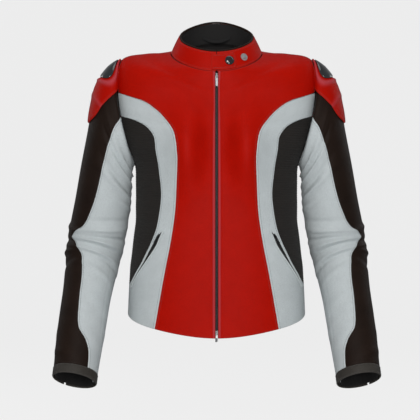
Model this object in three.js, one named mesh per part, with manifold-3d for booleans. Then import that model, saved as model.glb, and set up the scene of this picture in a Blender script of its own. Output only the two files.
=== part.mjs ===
// Short leather riding jacket for a woman, standing as if worn: zipped front, stand collar with a snap tab,
// pre-curved sleeves with shoulder caps, zipped hand pockets and zipped cuffs.
// Millimetres. +Z is up, the front faces -Y, the wearer's left is +X.
// The origin is at the base of the neck, where the wearer's shoulders carry the jacket.
import * as THREE from 'three';
import { mergeVertices } from 'three/addons/utils/BufferGeometryUtils.js';
import Module from 'manifold-3d';

const wasm = await Module();
wasm.setup();

// ---- driving dimensions ----
const NECK_HALF_WIDTH = 91;
const SHOULDER_HALF_WIDTH = 189;
const CHEST_HALF_WIDTH = 200;
const WAIST_HALF_WIDTH = 161;
const HEM_HALF_WIDTH = 177;
const COLLAR_TOP_HALF_WIDTH = 75;
const LENGTH = 560; // level of the hem at the centre front, below the base of the neck
const LEATHER = 2.2;
const LINING = 1.4;
const LINING_DROP = 6.8; // how far the lining hangs off the inside of the leather
const CAUGHT = 1.7; // the same where the lining is caught in a seam
const BODY_SEAM = 0.35; // half the angle left open between two panels of the body, degrees
const SLEEVE_SEAM = 0.7; // the same between two panels of a sleeve
const BUST = 30;
const SLIT_HALF = 3.2; // half the open width of the front, where the zip shows
const CUFF_HALF_WIDTH = 43;
const ELBOW = 8.5; // station of the sleeve where the elbow bends
const FIT = 0.4; // clearance between pieces that lie on one another

// The centre front is one straight line that leans out towards the hem, because the zip lies on it.
const ZIP_TOP = { y: -80, z: -41 };
const LEAN = 0.0752; // how far the line comes forward for each millimetre down

// Stations of the body from the hem up to the neck: level of the side, half width, depth to the back,
// level of the centre front, level of the centre back, squareness, shift of the middle.
const BODY = [
  [42 - LENGTH, HEM_HALF_WIDTH, 102, -LENGTH, 30 - LENGTH, 2.35, 0],
  [105 - LENGTH, HEM_HALF_WIDTH - 3, 100, 76 - LENGTH, 100 - LENGTH, 2.35, 0],
  [-390, WAIST_HALF_WIDTH + 7, 92, -402, -392, 2.35, 0],
  [-320, WAIST_HALF_WIDTH, 85, -322, -322, 2.35, 0],
  [-262, WAIST_HALF_WIDTH, 92, -256, -262, 2.4, 0],
  [-222, WAIST_HALF_WIDTH + 2, 99, -208, -214, 2.5, 0],
  [-180, CHEST_HALF_WIDTH - 20, 104, -172, -160, 2.7, 0],
  [-120, CHEST_HALF_WIDTH - 4, 107, -140, -105, 2.8, 0],
  [-60, CHEST_HALF_WIDTH, 106, -112, -56, 2.8, 0],
  [-12, SHOULDER_HALF_WIDTH, 98, -88, -20, 2.5, 0],
  [0, (SHOULDER_HALF_WIDTH + NECK_HALF_WIDTH) / 2 + 2, 80, -64, 8, 2.2, -2],
  [1, NECK_HALF_WIDTH, 66, ZIP_TOP.z, 28, 2.1, -5],
];
const NECK = BODY.length - 1;

// The armhole is an oval round the side of the body: middle station, half height in stations, half angles.
const ARMHOLE = { station: 7, half: 2, front: 10.5, back: 19 };

// Stations of the sleeve below the armhole: middle x out from the chest's side, y, z, half width,
// half depth, roll and pitch in degrees.
const SLEEVE = [
  [-10, 0, -129.5, 99, 61, 75.7, 0],
  [2, 1, -146.5, 91.5, 64, 67.5, 0],
  [9, 2, -172, 77.2, 64, 58.8, 0],
  [14, 3, -204, 64, 62, 46, 0],
  [21, 5, -250, 56.5, 60, 27, 0],
  [28, 8, -300, 56, 59, 14, -2],
  [36, 11, -345, 57, 60, 11, 0],
  [44, 10, -388, 56.5, 60, 10, 12],
  [50.5, -3, -430, 52, 54, 10, 23],
  [57, -25, -478, 48, 50, 10, 25],
  [63, -48, -526, 47, 48, 10, 25],
  [69, -71, -576, 45.5, 46.5, 10, 25],
  [73, -89, -616, 43.5, 44.5, 9, 25],
  [75.5, -101, -642, CUFF_HALF_WIDTH, 44, 9, 25],
];
const CUFF = SLEEVE.length;

// Seams of the body, as station and angle from the centre front in degrees.
const BAND_OUTER = [[0, 51.8], [0.8, 49.3], [1.5, 47], [2.45, 43.2], [3.2, 41.4], [4.25, 41.4], [5.2, 41.8],
  [6.35, 44.5], [7.08, 52.1], [7.45, 58.3], [7.66, 64.5], [7.74, 73], [7.78, 80.2]];
const BAND_INNER = [[0.85, 103], [1, 84], [1.4, 72], [1.85, 65.2], [2.5, 57.5], [3.05, 54.8], [3.6, 54],
  [4.5, 56.5], [5.3, 58], [6, 57.8], [6.3, 59], [6.6, 62.5], [6.78, 67], [6.88, 72.2], [6.95, 79.6]];
const SIDE_SEAM = [[0, 106], [1, 104], [2.2, 102], [3.4, 99], [4.4, 94], [5, 90]];
const POCKET = [[0.95, 77.8], [1.8, 62.8], [2.55, 51.5]];
// Seams of the sleeve, as station and angle from the outer arm towards the front in degrees.
const WHITE_FRONT = [[0, 92], [2, 91.5], [2.8, 90], [4.3, 83], [5.35, 79], [6.4, 70], [7.1, 60], [7.75, 36],
  [8.1, 50], [8.45, 61], [8.85, 71], [9.65, 78], [10.75, 81], [11.6, 89], [12, 110], [12.5, 124], [14, 130]];
const WHITE_BACK = [[0, 184], [4.5, 184], [7, 200], [14, 205]];
const CAP_FRONT = [[0.17, 63], [1.31, 61], [2.05, 58], [2.94, 46], [3.4, 31], [3.7, 12]];
const OUTER_BACK = -72;
const CUFF_ZIP_ANGLE = -58;

// ---- colours ----
const RED = { color: 0x9c1408, roughness: 0.42, metalness: 0 };
const PALE = { color: 0xb4bcc2, roughness: 0.45, metalness: 0 };
const BLACK = { color: 0x241b19, roughness: 0.5, metalness: 0 };
const RIB = { color: 0x1d1817, roughness: 0.75, metalness: 0 };
const GREY = { color: 0x3a3634, roughness: 0.5, metalness: 0 };
const CLOTH = { color: 0x161413, roughness: 0.85, metalness: 0 };
const GLOSS = { color: 0x1c1e20, roughness: 0.15, metalness: 0 };
const STEEL = { color: 0xc9ccce, roughness: 0.2, metalness: 1 };
const DARK_METAL = { color: 0x2a2a2c, roughness: 0.35, metalness: 0.9 };
const FOAM = { color: 0x3c4048, roughness: 0.8, metalness: 0 };

const RAD = Math.PI / 180;
const jacket = new THREE.Group();

// ---- curves and surfaces ----
// Smooth value of each column of evenly spaced stations, at a station that may lie between two of them.
function between(stations, at) {
  const last = stations.length - 1;
  const t = THREE.MathUtils.clamp(at, 0, last - 1e-9);
  const i = Math.floor(t);
  const f = t - i;
  return stations[0].map((_, c) => {
    const b = stations[i][c];
    const d = stations[i + 1][c];
    const a = i > 0 ? stations[i - 1][c] : 2 * b - d;
    const e = i + 2 <= last ? stations[i + 2][c] : 2 * d - b;
    const square = 2 * a - 5 * b + 4 * d - e;
    const cube = 3 * b - a - 3 * d + e;
    return 0.5 * (2 * b + (d - a) * f + square * f * f + cube * f ** 3);
  });
}

// Smooth line through [position, value] pairs, by Hermite pieces.
function along(points, at) {
  const last = points.length - 1;
  if (at <= points[0][0]) return points[0][1];
  if (at >= points[last][0]) return points[last][1];
  const i = points.findIndex((p, n) => n < last && at < points[n + 1][0]);
  const slope = (n) => {
    const a = points[Math.max(n - 1, 0)];
    const b = points[Math.min(n + 1, last)];
    return (b[1] - a[1]) / (b[0] - a[0]);
  };
  const [x0, y0] = points[i];
  const [x1, y1] = points[i + 1];
  const w = x1 - x0;
  const t = (at - x0) / w;
  const bend = (1 - t) * slope(i) - t * slope(i + 1) + ((2 * t - 1) * (y1 - y0)) / w;
  return y0 + (y1 - y0) * t + t * (1 - t) * w * bend;
}

// How fast the level of a body station turns from its side value to its centre value.
function lift(c) {
  const soft = 0.0064;
  const power = 0.45;
  const rest = soft ** power;
  return ((c * c + soft) ** power - rest) / ((1 + soft) ** power - rest);
}

// Distance of the centre front from the origin's upright plane, at a level.
function frontDepth(level) {
  return LEAN * (ZIP_TOP.z - level) - ZIP_TOP.y;
}

function bodyPoint(angle, station) {
  const [side, half, back, levelFront, levelBack, square, shift] = between(BODY, station);
  const s = Math.sin(angle * RAD);
  const c = Math.cos(angle * RAD);
  const depth = c > 0 ? shift + frontDepth(levelFront) : back;
  const r = ((Math.abs(c) / depth) ** square + (Math.abs(s) / half) ** square) ** (-1 / square);
  const z = side + ((c > 0 ? levelFront : levelBack) - side) * lift(Math.abs(c));
  const turn = Math.abs(Math.atan2(s, c)) / RAD;
  const bust = c > 0 ? BUST * Math.exp(-(((z + 195) / 80) ** 2) - ((turn - 34) / 17) ** 2) : 0;
  return new THREE.Vector3(r * s, shift - r * c - bust, z);
}

function armholeEdge(station, reach) {
  const t = (station - ARMHOLE.station) / ARMHOLE.half;
  return Math.abs(t) < 1 ? reach * Math.sqrt(1 - t * t) : 0;
}

const armholeFront = (station) => 90 - armholeEdge(station, ARMHOLE.front);
const armholeBack = (station) => 90 + armholeEdge(station, ARMHOLE.back);

function armholePoint(angle) {
  const s = Math.sin(angle * RAD);
  const reach = s > 0 ? ARMHOLE.front : ARMHOLE.back;
  return bodyPoint(90 - reach * s, ARMHOLE.station + ARMHOLE.half * Math.cos(angle * RAD));
}

function sleeveRing(n, angle) {
  if (n === 0) return armholePoint(angle).toArray();
  const [out, y, z, half, depth, roll, pitch] = SLEEVE[n - 1];
  const c = half * Math.cos(angle * RAD);
  const s = depth * Math.sin(angle * RAD);
  return [
    CHEST_HALF_WIDTH + out + c * Math.cos(roll * RAD),
    y - s * Math.cos(pitch * RAD),
    z + c * Math.sin(roll * RAD) + s * Math.sin(pitch * RAD),
  ];
}

function sleevePoint(angle, station) {
  const rings = Array.from({ length: CUFF + 1 }, (_, n) => sleeveRing(n, angle));
  return new THREE.Vector3(...between(rings, station));
}

// The collar runs straight from the neck seam (0) to its top edge (1).
function collarPoint(angle, height) {
  const s = Math.sin(angle * RAD);
  const c = Math.cos(angle * RAD);
  const depth = c > 0 ? 66 : 60;
  const square = 2.1;
  const wide = Math.abs(s) / COLLAR_TOP_HALF_WIDTH;
  const r = ((Math.abs(c) / depth) ** square + wide ** square) ** (-1 / square);
  const z = 33 + (c > 0 ? -35 : 34) * Math.abs(c);
  return bodyPoint(angle, NECK).lerp(new THREE.Vector3(r * s, -6 - r * c, z), height);
}

// The point off a surface, along its outward normal.
function offSurface(surface, u, v, off) {
  const step = 1e-3;
  const point = surface(u, v);
  const across = surface(u + 40 * step, v).sub(surface(u - 40 * step, v));
  const up = surface(u, v + step).sub(surface(u, v - step));
  return point.addScaledVector(across.cross(up).normalize(), off);
}

// A panel bent onto a surface: a box whose columns run between two edge lines and whose rows sit at stations.
// Its outer and inner faces sit off the surface by a fixed amount, or by one that changes from row to row.
function panel(surface, rows, left, right, columns, outer, inner) {
  const count = rows.length - 1;
  const off = (depth, v) => (typeof depth === 'function' ? depth(v) : depth);
  const box = new THREE.BoxGeometry(1, 1, 1, columns, count, 1);
  const at = box.attributes.position;
  for (let i = 0; i < at.count; i += 1) {
    const v = rows[Math.round((at.getY(i) + 0.5) * count)];
    const u = THREE.MathUtils.lerp(left(v), right(v), at.getX(i) + 0.5);
    const p = offSurface(surface, u, v, off(at.getZ(i) > 0 ? outer : inner, v));
    at.setXYZ(i, p.x, p.y, p.z);
  }
  return box;
}

function evenly(from, to, count) {
  return Array.from({ length: count + 1 }, (_, i) => from + ((to - from) * i) / count);
}

function bare(geometry) {
  const copy = geometry.clone();
  copy.deleteAttribute('normal');
  copy.deleteAttribute('uv');
  return mergeVertices(copy, 1e-4);
}

function mirrored(geometry) {
  const copy = bare(geometry);
  copy.scale(-1, 1, 1);
  const index = Array.from(copy.index.array);
  for (let i = 0; i < index.length; i += 3) [index[i], index[i + 1]] = [index[i + 1], index[i]];
  copy.setIndex(index);
  return copy;
}

function solidOf(geometry) {
  const g = bare(geometry);
  const mesh = new wasm.Mesh({
    numProp: 3,
    vertProperties: new Float32Array(g.attributes.position.array),
    triVerts: new Uint32Array(g.index.array),
  });
  return new wasm.Manifold(mesh);
}

function geometryOf(solid) {
  const mesh = solid.getMesh();
  const g = new THREE.BufferGeometry();
  g.setAttribute('position', new THREE.BufferAttribute(mesh.vertProperties, 3));
  g.setIndex(new THREE.BufferAttribute(mesh.triVerts, 1));
  return g;
}

const joined = (geometries) => geometryOf(geometries.map(solidOf).reduce((a, b) => a.add(b)));

// A box given by its two corners.
function block(x0, x1, y0, y1, z0, z1) {
  const box = new THREE.BoxGeometry(x1 - x0, y1 - y0, z1 - z0);
  return box.translate((x0 + x1) / 2, (y0 + y1) / 2, (z0 + z1) / 2);
}

function add(name, geometry, look, parent = jacket) {
  const g = bare(geometry);
  g.computeVertexNormals();
  const mesh = new THREE.Mesh(g, new THREE.MeshStandardMaterial(look));
  mesh.name = name;
  parent.add(mesh);
  return mesh;
}

// The same piece on both sides: left is the wearer's left.
function addPair(name, geometry, look) {
  add(`${name}_left`, geometry, look);
  add(`${name}_right`, mirrored(geometry), look);
}

// ---- the body ----
// Angle at which an upright line beside the centre front crosses a station.
function slitAngle(half) {
  return (station) => Math.asin(half / frontDepth(between(BODY, station)[3])) / RAD;
}

const onSeam = (points, side, gap) => (station) => along(points, station) + side * gap;

function bodyPanels() {
  const frontEdge = (k) => {
    if (k < BAND_OUTER.at(-1)[0]) return along(BAND_OUTER, k) - BODY_SEAM;
    return armholeFront(k) - BODY_SEAM;
  };
  const frontRows = [0, 0.5, 1, 1.6, 2.3, 3, 3.7, 4.4, 5.1, 5.6, 6, 6.4, 6.8, 7.1, 7.35, 7.55, 7.66, 7.7,
    7.74, 7.78, 8.1, 8.5, 8.8, 8.96, 9.1, 9.5, 10, 10.4, 10.7, 10.97];
  addPair('front_panel', panel(bodyPoint, frontRows, slitAngle(SLIT_HALF), frontEdge, 5, 0, -LEATHER), RED);

  const bandStart = onSeam(BAND_OUTER, 1, BODY_SEAM);
  const bandEnd = (k) => {
    if (k <= BAND_INNER[0][0]) return along(SIDE_SEAM, k) - BODY_SEAM;
    if (k < BAND_INNER.at(-1)[0]) return along(BAND_INNER, k) - BODY_SEAM;
    return armholeFront(k) - BODY_SEAM;
  };
  const bandRows = [0, 0.4, 0.85, 0.92, 1, 1.2, 1.4, 1.85, 2.3, 3, 3.7, 4.4, 5.1, 5.6, 6, 6.3, 6.6, 6.78,
    6.88, 6.91, 6.95, 7.1, 7.35, 7.55, 7.66, 7.7, 7.74];
  addPair('chest_band', panel(bodyPoint, bandRows, bandStart, bandEnd, 6, 0, -LEATHER), PALE);

  const sideStart = onSeam(BAND_INNER, 1, BODY_SEAM);
  const sideEnd = (k) => (k <= 5 ? along(SIDE_SEAM, k) : armholeFront(k)) - BODY_SEAM;
  const sideRows = [0.9, 0.95, 1, 1.2, 1.4, 1.85, 2.3, 3, 3.7, 4.4, 4.98, 5.1, 5.6, 6, 6.3, 6.6, 6.78, 6.88,
    6.91];
  addPair('side_panel', panel(bodyPoint, sideRows, sideStart, sideEnd, 3, 0, -LEATHER), RIB);

  const backStart = (k) => (k <= 5 ? along(SIDE_SEAM, k) : armholeBack(k)) + BODY_SEAM;
  const backEnd = (k) => 360 - backStart(k);
  const backRows = [0, 1, 2.2, 3.4, 4.4, 4.98, 5.1, 5.6, 6.3, 7, 7.6, 8];
  const yokeRows = [8.012, 8.4, 8.7, 8.9, 8.98, 9.1, 9.5, 10, 10.4, 10.7, 10.97];
  add('back_panel', panel(bodyPoint, backRows, backStart, backEnd, 12, 0, -LEATHER), RED);
  add('back_yoke', panel(bodyPoint, yokeRows, backStart, backEnd, 12, 0, -LEATHER), RED);
}

function bodyLining() {
  const clear = 1.2;
  const facing = 25; // the lining starts this far from the centre front
  const rows = [0.15, 1, 2, 3, 4, 4.9, 5.05, 5.5, 6.2, 7, 7.8, 8.5, 8.95, 9.1, 9.6, 10.2, 10.8];
  // It is caught in the hem and in the neck seam, and hangs free of the leather between them.
  const outer = (k) => -LEATHER - (k === rows[0] || k === rows.at(-1) ? CAUGHT : LINING_DROP);
  const inner = (k) => outer(k) - LINING;
  const frontEnd = (k) => armholeFront(k) - clear;
  const backStart = (k) => armholeBack(k) + clear;
  const backEnd = (k) => 360 - backStart(k);
  addPair('front_lining', panel(bodyPoint, rows, slitAngle(facing), frontEnd, 7, outer, inner), CLOTH);
  add('back_lining', panel(bodyPoint, rows, backStart, backEnd, 14, outer, inner), CLOTH);
}

// ---- the collar ----
const SNAP = { angle: 19.7, height: 0.46, radius: 9 };
const STUD = { angle: 43.5, height: 0.46, radius: 7.5 };

// A round stud of one lathe profile, standing on a surface.
function studOn(surface, angle, height, off, profile) {
  const stud = new THREE.LatheGeometry(profile.map(([r, y]) => new THREE.Vector2(r, y)), 20);
  const foot = offSurface(surface, angle, height, off);
  const tip = offSurface(surface, angle, height, off + 1);
  const up = new THREE.Vector3(0, 1, 0);
  const turn = new THREE.Quaternion().setFromUnitVectors(up, tip.sub(foot).normalize());
  return stud.applyQuaternion(turn).translate(foot.x, foot.y, foot.z);
}

const COLLAR = { leather: LEATHER + 0.4, lining: 2, end: 1.6 };
const COLLAR_INSIDE = COLLAR.leather + FIT + COLLAR.lining;

function collar() {
  const rows = [0.008, 0.35, 0.7, 1];
  const rimRows = [1.012, 1.06, 1.1];
  const { end } = COLLAR;
  const cloth = -COLLAR.leather - FIT;
  add('collar_shell', panel(collarPoint, rows, () => end, () => 360 - end, 28, 0, -COLLAR.leather), RED);
  const lining = panel(collarPoint, rows, () => end + 1, () => 359 - end, 28, cloth, -COLLAR_INSIDE);
  const rim = panel(collarPoint, rimRows, () => end, () => 360 - end, 28, -0.2, -0.2 - COLLAR_INSIDE);
  add('collar_lining', lining, CLOTH);
  add('collar_rim', rim, BLACK);

  const tabTop = (h) => SNAP.angle + 11 - 14 * (h - SNAP.height) ** 2;
  const tabRows = [0.06, 0.14, 0.26, 0.46, 0.66, 0.78, 0.86];
  const tabFace = FIT + LEATHER + 0.2;
  add('collar_tab', panel(collarPoint, tabRows, () => -9, tabTop, 7, tabFace, FIT), RED);
  const r = SNAP.radius;
  const cap = [[0, 0], [r - 1, 0], [r, 0.8], [r, 1.8], [r - 2.2, 3], [0, 3.3]];
  add('tab_snap', studOn(collarPoint, SNAP.angle, SNAP.height, tabFace + 0.6, cap), GLOSS);
  const knob = [[0, 0], [STUD.radius, 0], [STUD.radius, 1], [STUD.radius - 2.5, 2], [3.4, 3.6], [0, 4]];
  add('collar_stud', studOn(collarPoint, STUD.angle, STUD.height, 0.6, knob), STEEL);
}

function hangLoop() {
  const seat = offSurface(collarPoint, 180, 0.2, -COLLAR_INSIDE - 1.4);
  const half = 26;
  const bow = [[-half, -4, 4], [-half * 0.55, -7, -2], [0, -8.5, -5], [half * 0.55, -7, -2], [half, -4, 4]];
  const points = bow.map(([x, y, z]) => new THREE.Vector3(x, seat.y + y, seat.z + z));
  const path = new THREE.CatmullRomCurve3(points);
  const thin = 0.7;
  const wide = 3.5;
  const corners = [[-thin, -wide], [thin, -wide], [thin, wide], [-thin, wide]];
  const strap = new THREE.Shape(corners.map(([x, y]) => new THREE.Vector2(x, y)));
  add('hang_loop', new THREE.ExtrudeGeometry(strap, { steps: 12, extrudePath: path }), CLOTH);
}

// ---- the front zip ----
// The zip lies on one straight line, so its pieces are drawn upright in a frame that leans with it:
// z runs down from 0 at the neck seam, y is 0 on the leather's face and grows towards the wearer.
const ZIP = { top: -1, tapeHalf: 13, tape: 1, pitch: 20, toothHeight: 7, toothFace: 1 };
const TAPE_FACE = LEATHER + 0.8;
const TAPE_BACK = TAPE_FACE + ZIP.tape;

function zipFrame() {
  const top = bodyPoint(0, NECK);
  const frame = new THREE.Group();
  frame.position.copy(top);
  frame.rotation.x = -Math.atan(LEAN);
  jacket.add(frame);
  return { frame, bottom: -top.distanceTo(bodyPoint(0, 0)) };
}

function zipSide(side, bottom) {
  const edge = SLIT_HALF - 1.3;
  const reach = edge - 0.3;
  const clearOfBox = 16;
  const pieces = [block(edge, ZIP.tapeHalf, TAPE_FACE, TAPE_BACK, bottom, ZIP.top)];
  const first = ZIP.top - (side > 0 ? 0.75 : 0.25) * ZIP.pitch;
  for (let z = first; z - ZIP.toothHeight > bottom + clearOfBox; z -= ZIP.pitch) {
    pieces.push(block(-reach, edge + 0.8, ZIP.toothFace, TAPE_FACE + 0.6, z - ZIP.toothHeight, z));
  }
  const geometry = joined(pieces);
  return side > 0 ? geometry : mirrored(geometry);
}

function frontZip() {
  const { frame, bottom } = zipFrame();
  add('zip_tape_left', zipSide(1, bottom), CLOTH, frame);
  add('zip_tape_right', zipSide(-1, bottom), CLOTH, frame);
  const top = ZIP.top - 3;
  const half = SLIT_HALF - FIT;
  const slider = [
    block(-half, half, -1.4, ZIP.toothFace - FIT, top - 13, top),
    block(-1.1, 1.1, -3.2, -1, top - 3.4, top - 1.6),
    block(-1.1, 1.1, -4.4, -2.8, top - 8, top - 1.6),
    block(-1.1, 1.1, -3.2, -1, top - 8, top - 6.4),
  ];
  add('zip_slider', joined(slider), STEEL, frame);
  // The pull is a flat plate whose eye turns about a bar under the slider's bridge.
  const pivot = { y: -2.1, z: top - 4.9 };
  const face = { near: pivot.y + 0.4, far: pivot.y - 0.4 };
  const barHalf = 0.45;
  const pull = [
    block(-2.6, 2.6, face.far, face.near, pivot.z - barHalf, pivot.z + barHalf),
    block(-2.6, -1.5, face.far, face.near, pivot.z - 4.7, pivot.z + barHalf),
    block(1.5, 2.6, face.far, face.near, pivot.z - 4.7, pivot.z + barHalf),
    block(-2.6, 2.6, face.far, face.near, pivot.z - 21, pivot.z - 4.5),
  ];
  add('zip_pull', joined(pull), STEEL, frame);
  const foot = bottom - FIT;
  add('zip_box', block(0.5 - SLIT_HALF, 0.3, 1, TAPE_BACK + FIT, bottom - 8, foot), DARK_METAL, frame);
  add('zip_pin', block(0.8, SLIT_HALF - 0.6, 1.4, TAPE_BACK, bottom - 7, foot), STEEL, frame);
  const flap = { right: -13, left: 22, thickness: 1.6 };
  const flapFace = TAPE_BACK + FIT;
  const flapBack = flapFace + flap.thickness;
  add('wind_flap', block(flap.right, flap.left, flapFace, flapBack, bottom + 14, ZIP.top - 8), BLACK, frame);
}

// ---- the hand pockets ----
const pocketAngle = (station) => along(POCKET, station);
const POCKET_TOP = 2.5;

// The frame of a small slider: its origin on the surface, y away from it, z up along a seam.
function seatOn(surface, lineAngle, station, off) {
  const foot = offSurface(surface, lineAngle(station), station, off);
  const out = offSurface(surface, lineAngle(station), station, off + 1).sub(foot).normalize();
  const nudge = 0.05;
  const ahead = offSurface(surface, lineAngle(station + nudge), station + nudge, off);
  const up = ahead.sub(foot);
  up.addScaledVector(out, -up.dot(out)).normalize();
  if (up.z < 0) up.negate();
  const across = new THREE.Vector3().crossVectors(out, up);
  return new THREE.Matrix4().makeBasis(across, out, up).setPosition(foot);
}

// Plain block slider with a bridge for its pull.
function smallSlider() {
  return joined([
    block(-2, 2, 0, 1.8, -4.5, 4.5),
    block(-0.9, 0.9, 1.4, 3.4, 1.4, 2.8),
    block(-0.9, 0.9, 3, 4.2, -2.8, 2.8),
    block(-0.9, 0.9, 1.4, 3.4, -2.8, -1.4),
  ]);
}

// Flat pull of a small slider: its eye turns about a bar under the bridge.
function smallPull(length) {
  const low = 2.15;
  const high = 2.65;
  return joined([
    block(-2.2, 2.2, low, high, -0.25, 0.25),
    block(-2.2, -1.3, low, high, -4.8, 0.25),
    block(1.3, 2.2, low, high, -4.8, 0.25),
    block(-2.2, 2.2, low, high, -length, -4.6),
  ]);
}

// Raised strip of a covered zip, which starts a clearance above the leather.
const COIL_FACE = FIT + 1.3;

function pockets() {
  const rows = evenly(0.97, 2.53, 8);
  const half = 0.8;
  const start = (k) => pocketAngle(k) - half;
  const coil = panel(bodyPoint, rows, start, (k) => pocketAngle(k) + half, 1, COIL_FACE, FIT);
  addPair('pocket_zip', coil, DARK_METAL);
  const seat = seatOn(bodyPoint, pocketAngle, POCKET_TOP - 0.06, COIL_FACE + 0.9);
  addPair('pocket_slider', smallSlider().applyMatrix4(seat), DARK_METAL);
  addPair('pocket_pull', smallPull(17).applyMatrix4(seat), DARK_METAL);
  const bagRows = [0.7, 1, 1.4, 1.85, 2.3];
  const bagEnd = (k) => pocketAngle(Math.max(k, 1)) - 2;
  const bagFace = -LEATHER - 2.4;
  const bag = panel(bodyPoint, bagRows, () => 22, bagEnd, 8, bagFace, bagFace - 1.2);
  addPair('pocket_bag', bag, CLOTH);
}

// ---- the sleeves ----
function sleevePanels() {
  const elbowGap = 0.015;
  const upperRows = [0.16, 0.6, 1.2, 2, 3, 4, 5, 6, 6.8, 7.4, 7.75, 8.1, ELBOW - elbowGap];
  const lowerRows = [ELBOW + elbowGap, 8.9, 9.6, 10.4, 11.2, 11.8, 12.1, 12.6, 13.28];
  const outerStart = () => OUTER_BACK + SLEEVE_SEAM;
  const outerEnd = onSeam(WHITE_FRONT, -1, SLEEVE_SEAM);
  const innerStart = onSeam(WHITE_FRONT, 1, SLEEVE_SEAM);
  const innerEnd = onSeam(WHITE_BACK, -1, SLEEVE_SEAM);
  const backStart = onSeam(WHITE_BACK, 1, SLEEVE_SEAM);
  const backEnd = () => 360 + OUTER_BACK - SLEEVE_SEAM;
  const lowerStart = (w) => backStart(w) - 360;
  addPair('sleeve_outer', panel(sleevePoint, upperRows, outerStart, outerEnd, 8, 0, -LEATHER), BLACK);
  addPair('sleeve_inner', panel(sleevePoint, upperRows, innerStart, innerEnd, 5, 0, -LEATHER), PALE);
  addPair('sleeve_back', panel(sleevePoint, upperRows, backStart, backEnd, 4, 0, -LEATHER), RED);
  addPair('forearm_outer', panel(sleevePoint, lowerRows, lowerStart, outerEnd, 10, 0, -LEATHER), BLACK);
  addPair('forearm_inner', panel(sleevePoint, lowerRows, innerStart, innerEnd, 5, 0, -LEATHER), PALE);
}

function forearmInside() {
  const padFace = -LEATHER - 1.8;
  const padThickness = 3.4;
  const padBack = padFace - padThickness;
  const pad = panel(sleevePoint, [8.6, 9, 9.5, 10, 10.5], () => 215, () => 325, 6, padFace, padBack);
  addPair('elbow_protector', pad, FOAM);
  const rows = [8.62, 9.5, 10.5, 11.5, 12.5, 13.9];
  const underPad = padBack - 1.4;
  const outside = (w) => (w === rows.at(-1) ? -LEATHER - 1.5 : underPad);
  const inside = (w) => outside(w) - 1.2;
  addPair('forearm_lining', panel(sleevePoint, rows, () => -156, () => 200, 16, outside, inside), CLOTH);
}

function shoulders() {
  const cap = { low: 1.5, high: 4.1 };
  const capFront = (w) => along(CAP_FRONT, w);
  const capBack = (w) => -0.9 * capFront(w);
  const capRows = [0.17, 0.4, 0.8, 1.31, 2.05, 2.6, 2.94, 3.2, 3.45, 3.62];
  addPair('shoulder_cap', panel(sleevePoint, capRows, capBack, capFront, 8, cap.high, cap.low), RED);
  // The guard is an oval shield on the cap, squared off at its two ends.
  const guard = { low: cap.high + 1.7, thickness: 1.9, half: 35, middle: 0.86, reach: 0.7, squared: 0.12 };
  const guardRows = [0.2, 0.4, 0.75, 1.1, 1.35, 1.5];
  const guardEnd = (w) => {
    const t = (w - guard.middle) / guard.reach;
    return guard.half * Math.sqrt(Math.max(guard.squared, 1 - t * t));
  };
  const guardStart = (w) => -guardEnd(w);
  const high = guard.low + guard.thickness;
  addPair('shoulder_guard', panel(sleevePoint, guardRows, guardStart, guardEnd, 5, high, guard.low), GLOSS);
}

function cuffs() {
  const bandRows = [13.31, 13.6, CUFF];
  const slit = 3;
  const bandStart = () => CUFF_ZIP_ANGLE + slit;
  const bandEnd = () => 360 + CUFF_ZIP_ANGLE - slit;
  addPair('cuff_band', panel(sleevePoint, bandRows, bandStart, bandEnd, 18, 0.6, -LEATHER - 0.2), GREY);
  const half = 2.6;
  const stripStart = () => CUFF_ZIP_ANGLE - half;
  const stripEnd = () => CUFF_ZIP_ANGLE + half;
  const strip = panel(sleevePoint, evenly(10.9, 13.27, 5), stripStart, stripEnd, 1, COIL_FACE, FIT);
  addPair('cuff_zip', strip, DARK_METAL);
  const seat = seatOn(sleevePoint, () => CUFF_ZIP_ANGLE, 13.05, COIL_FACE + 0.9);
  const tab = block(-2.2, 2.2, 3.2, 4.2, -13, 0);
  addPair('cuff_slider', joined([smallSlider(), tab]).applyMatrix4(seat), STEEL);
  const dome = [[0, 0], [4, 0], [4, 0.8], [2.4, 1.8], [0, 2]];
  const inside = (u, v) => offSurface(sleevePoint, -u, v, -LEATHER - 4.1);
  addPair('cuff_stud', studOn(inside, -178, 13.78, 0, dome), STEEL);
}

function waistZip() {
  const face = -LEATHER - LINING_DROP - LINING - 0.2;
  const thickness = 1.6;
  const strip = panel(bodyPoint, [0.42, 0.6, 0.78], () => 130, () => 230, 10, face, face - thickness);
  add('waist_zip', strip, DARK_METAL);
}

bodyPanels();
bodyLining();
collar();
hangLoop();
frontZip();
pockets();
sleevePanels();
forearmInside();
shoulders();
cuffs();
waistZip();

export default jacket;
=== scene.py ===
import math

import bmesh
import bpy
import numpy as np
from mathutils import Matrix, Vector


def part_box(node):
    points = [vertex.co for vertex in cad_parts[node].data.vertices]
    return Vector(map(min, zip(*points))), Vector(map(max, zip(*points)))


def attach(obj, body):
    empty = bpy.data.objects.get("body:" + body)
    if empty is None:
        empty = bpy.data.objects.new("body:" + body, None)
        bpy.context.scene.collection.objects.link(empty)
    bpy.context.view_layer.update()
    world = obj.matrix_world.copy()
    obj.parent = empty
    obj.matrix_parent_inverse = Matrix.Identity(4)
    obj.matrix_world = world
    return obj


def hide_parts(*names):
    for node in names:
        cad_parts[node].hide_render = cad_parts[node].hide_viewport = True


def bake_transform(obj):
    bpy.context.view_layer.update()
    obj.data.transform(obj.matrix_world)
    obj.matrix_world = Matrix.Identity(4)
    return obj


# Short leather riding jacket for a woman, standing in its worn shape with its zips closed.
# The panels are drawn in millimetres on the same stations as the solid frame and made in metres.

bl_info = {
    "name": "Leather riding jacket",
    "version": (1, 0, 0),
    "blender": (4, 5, 0),
    "location": "3D View > Sidebar > Jacket",
    "description": "Makes the panels, zips, studs and lining of a riding jacket, and its stage",
    "category": "Object",
}

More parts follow.
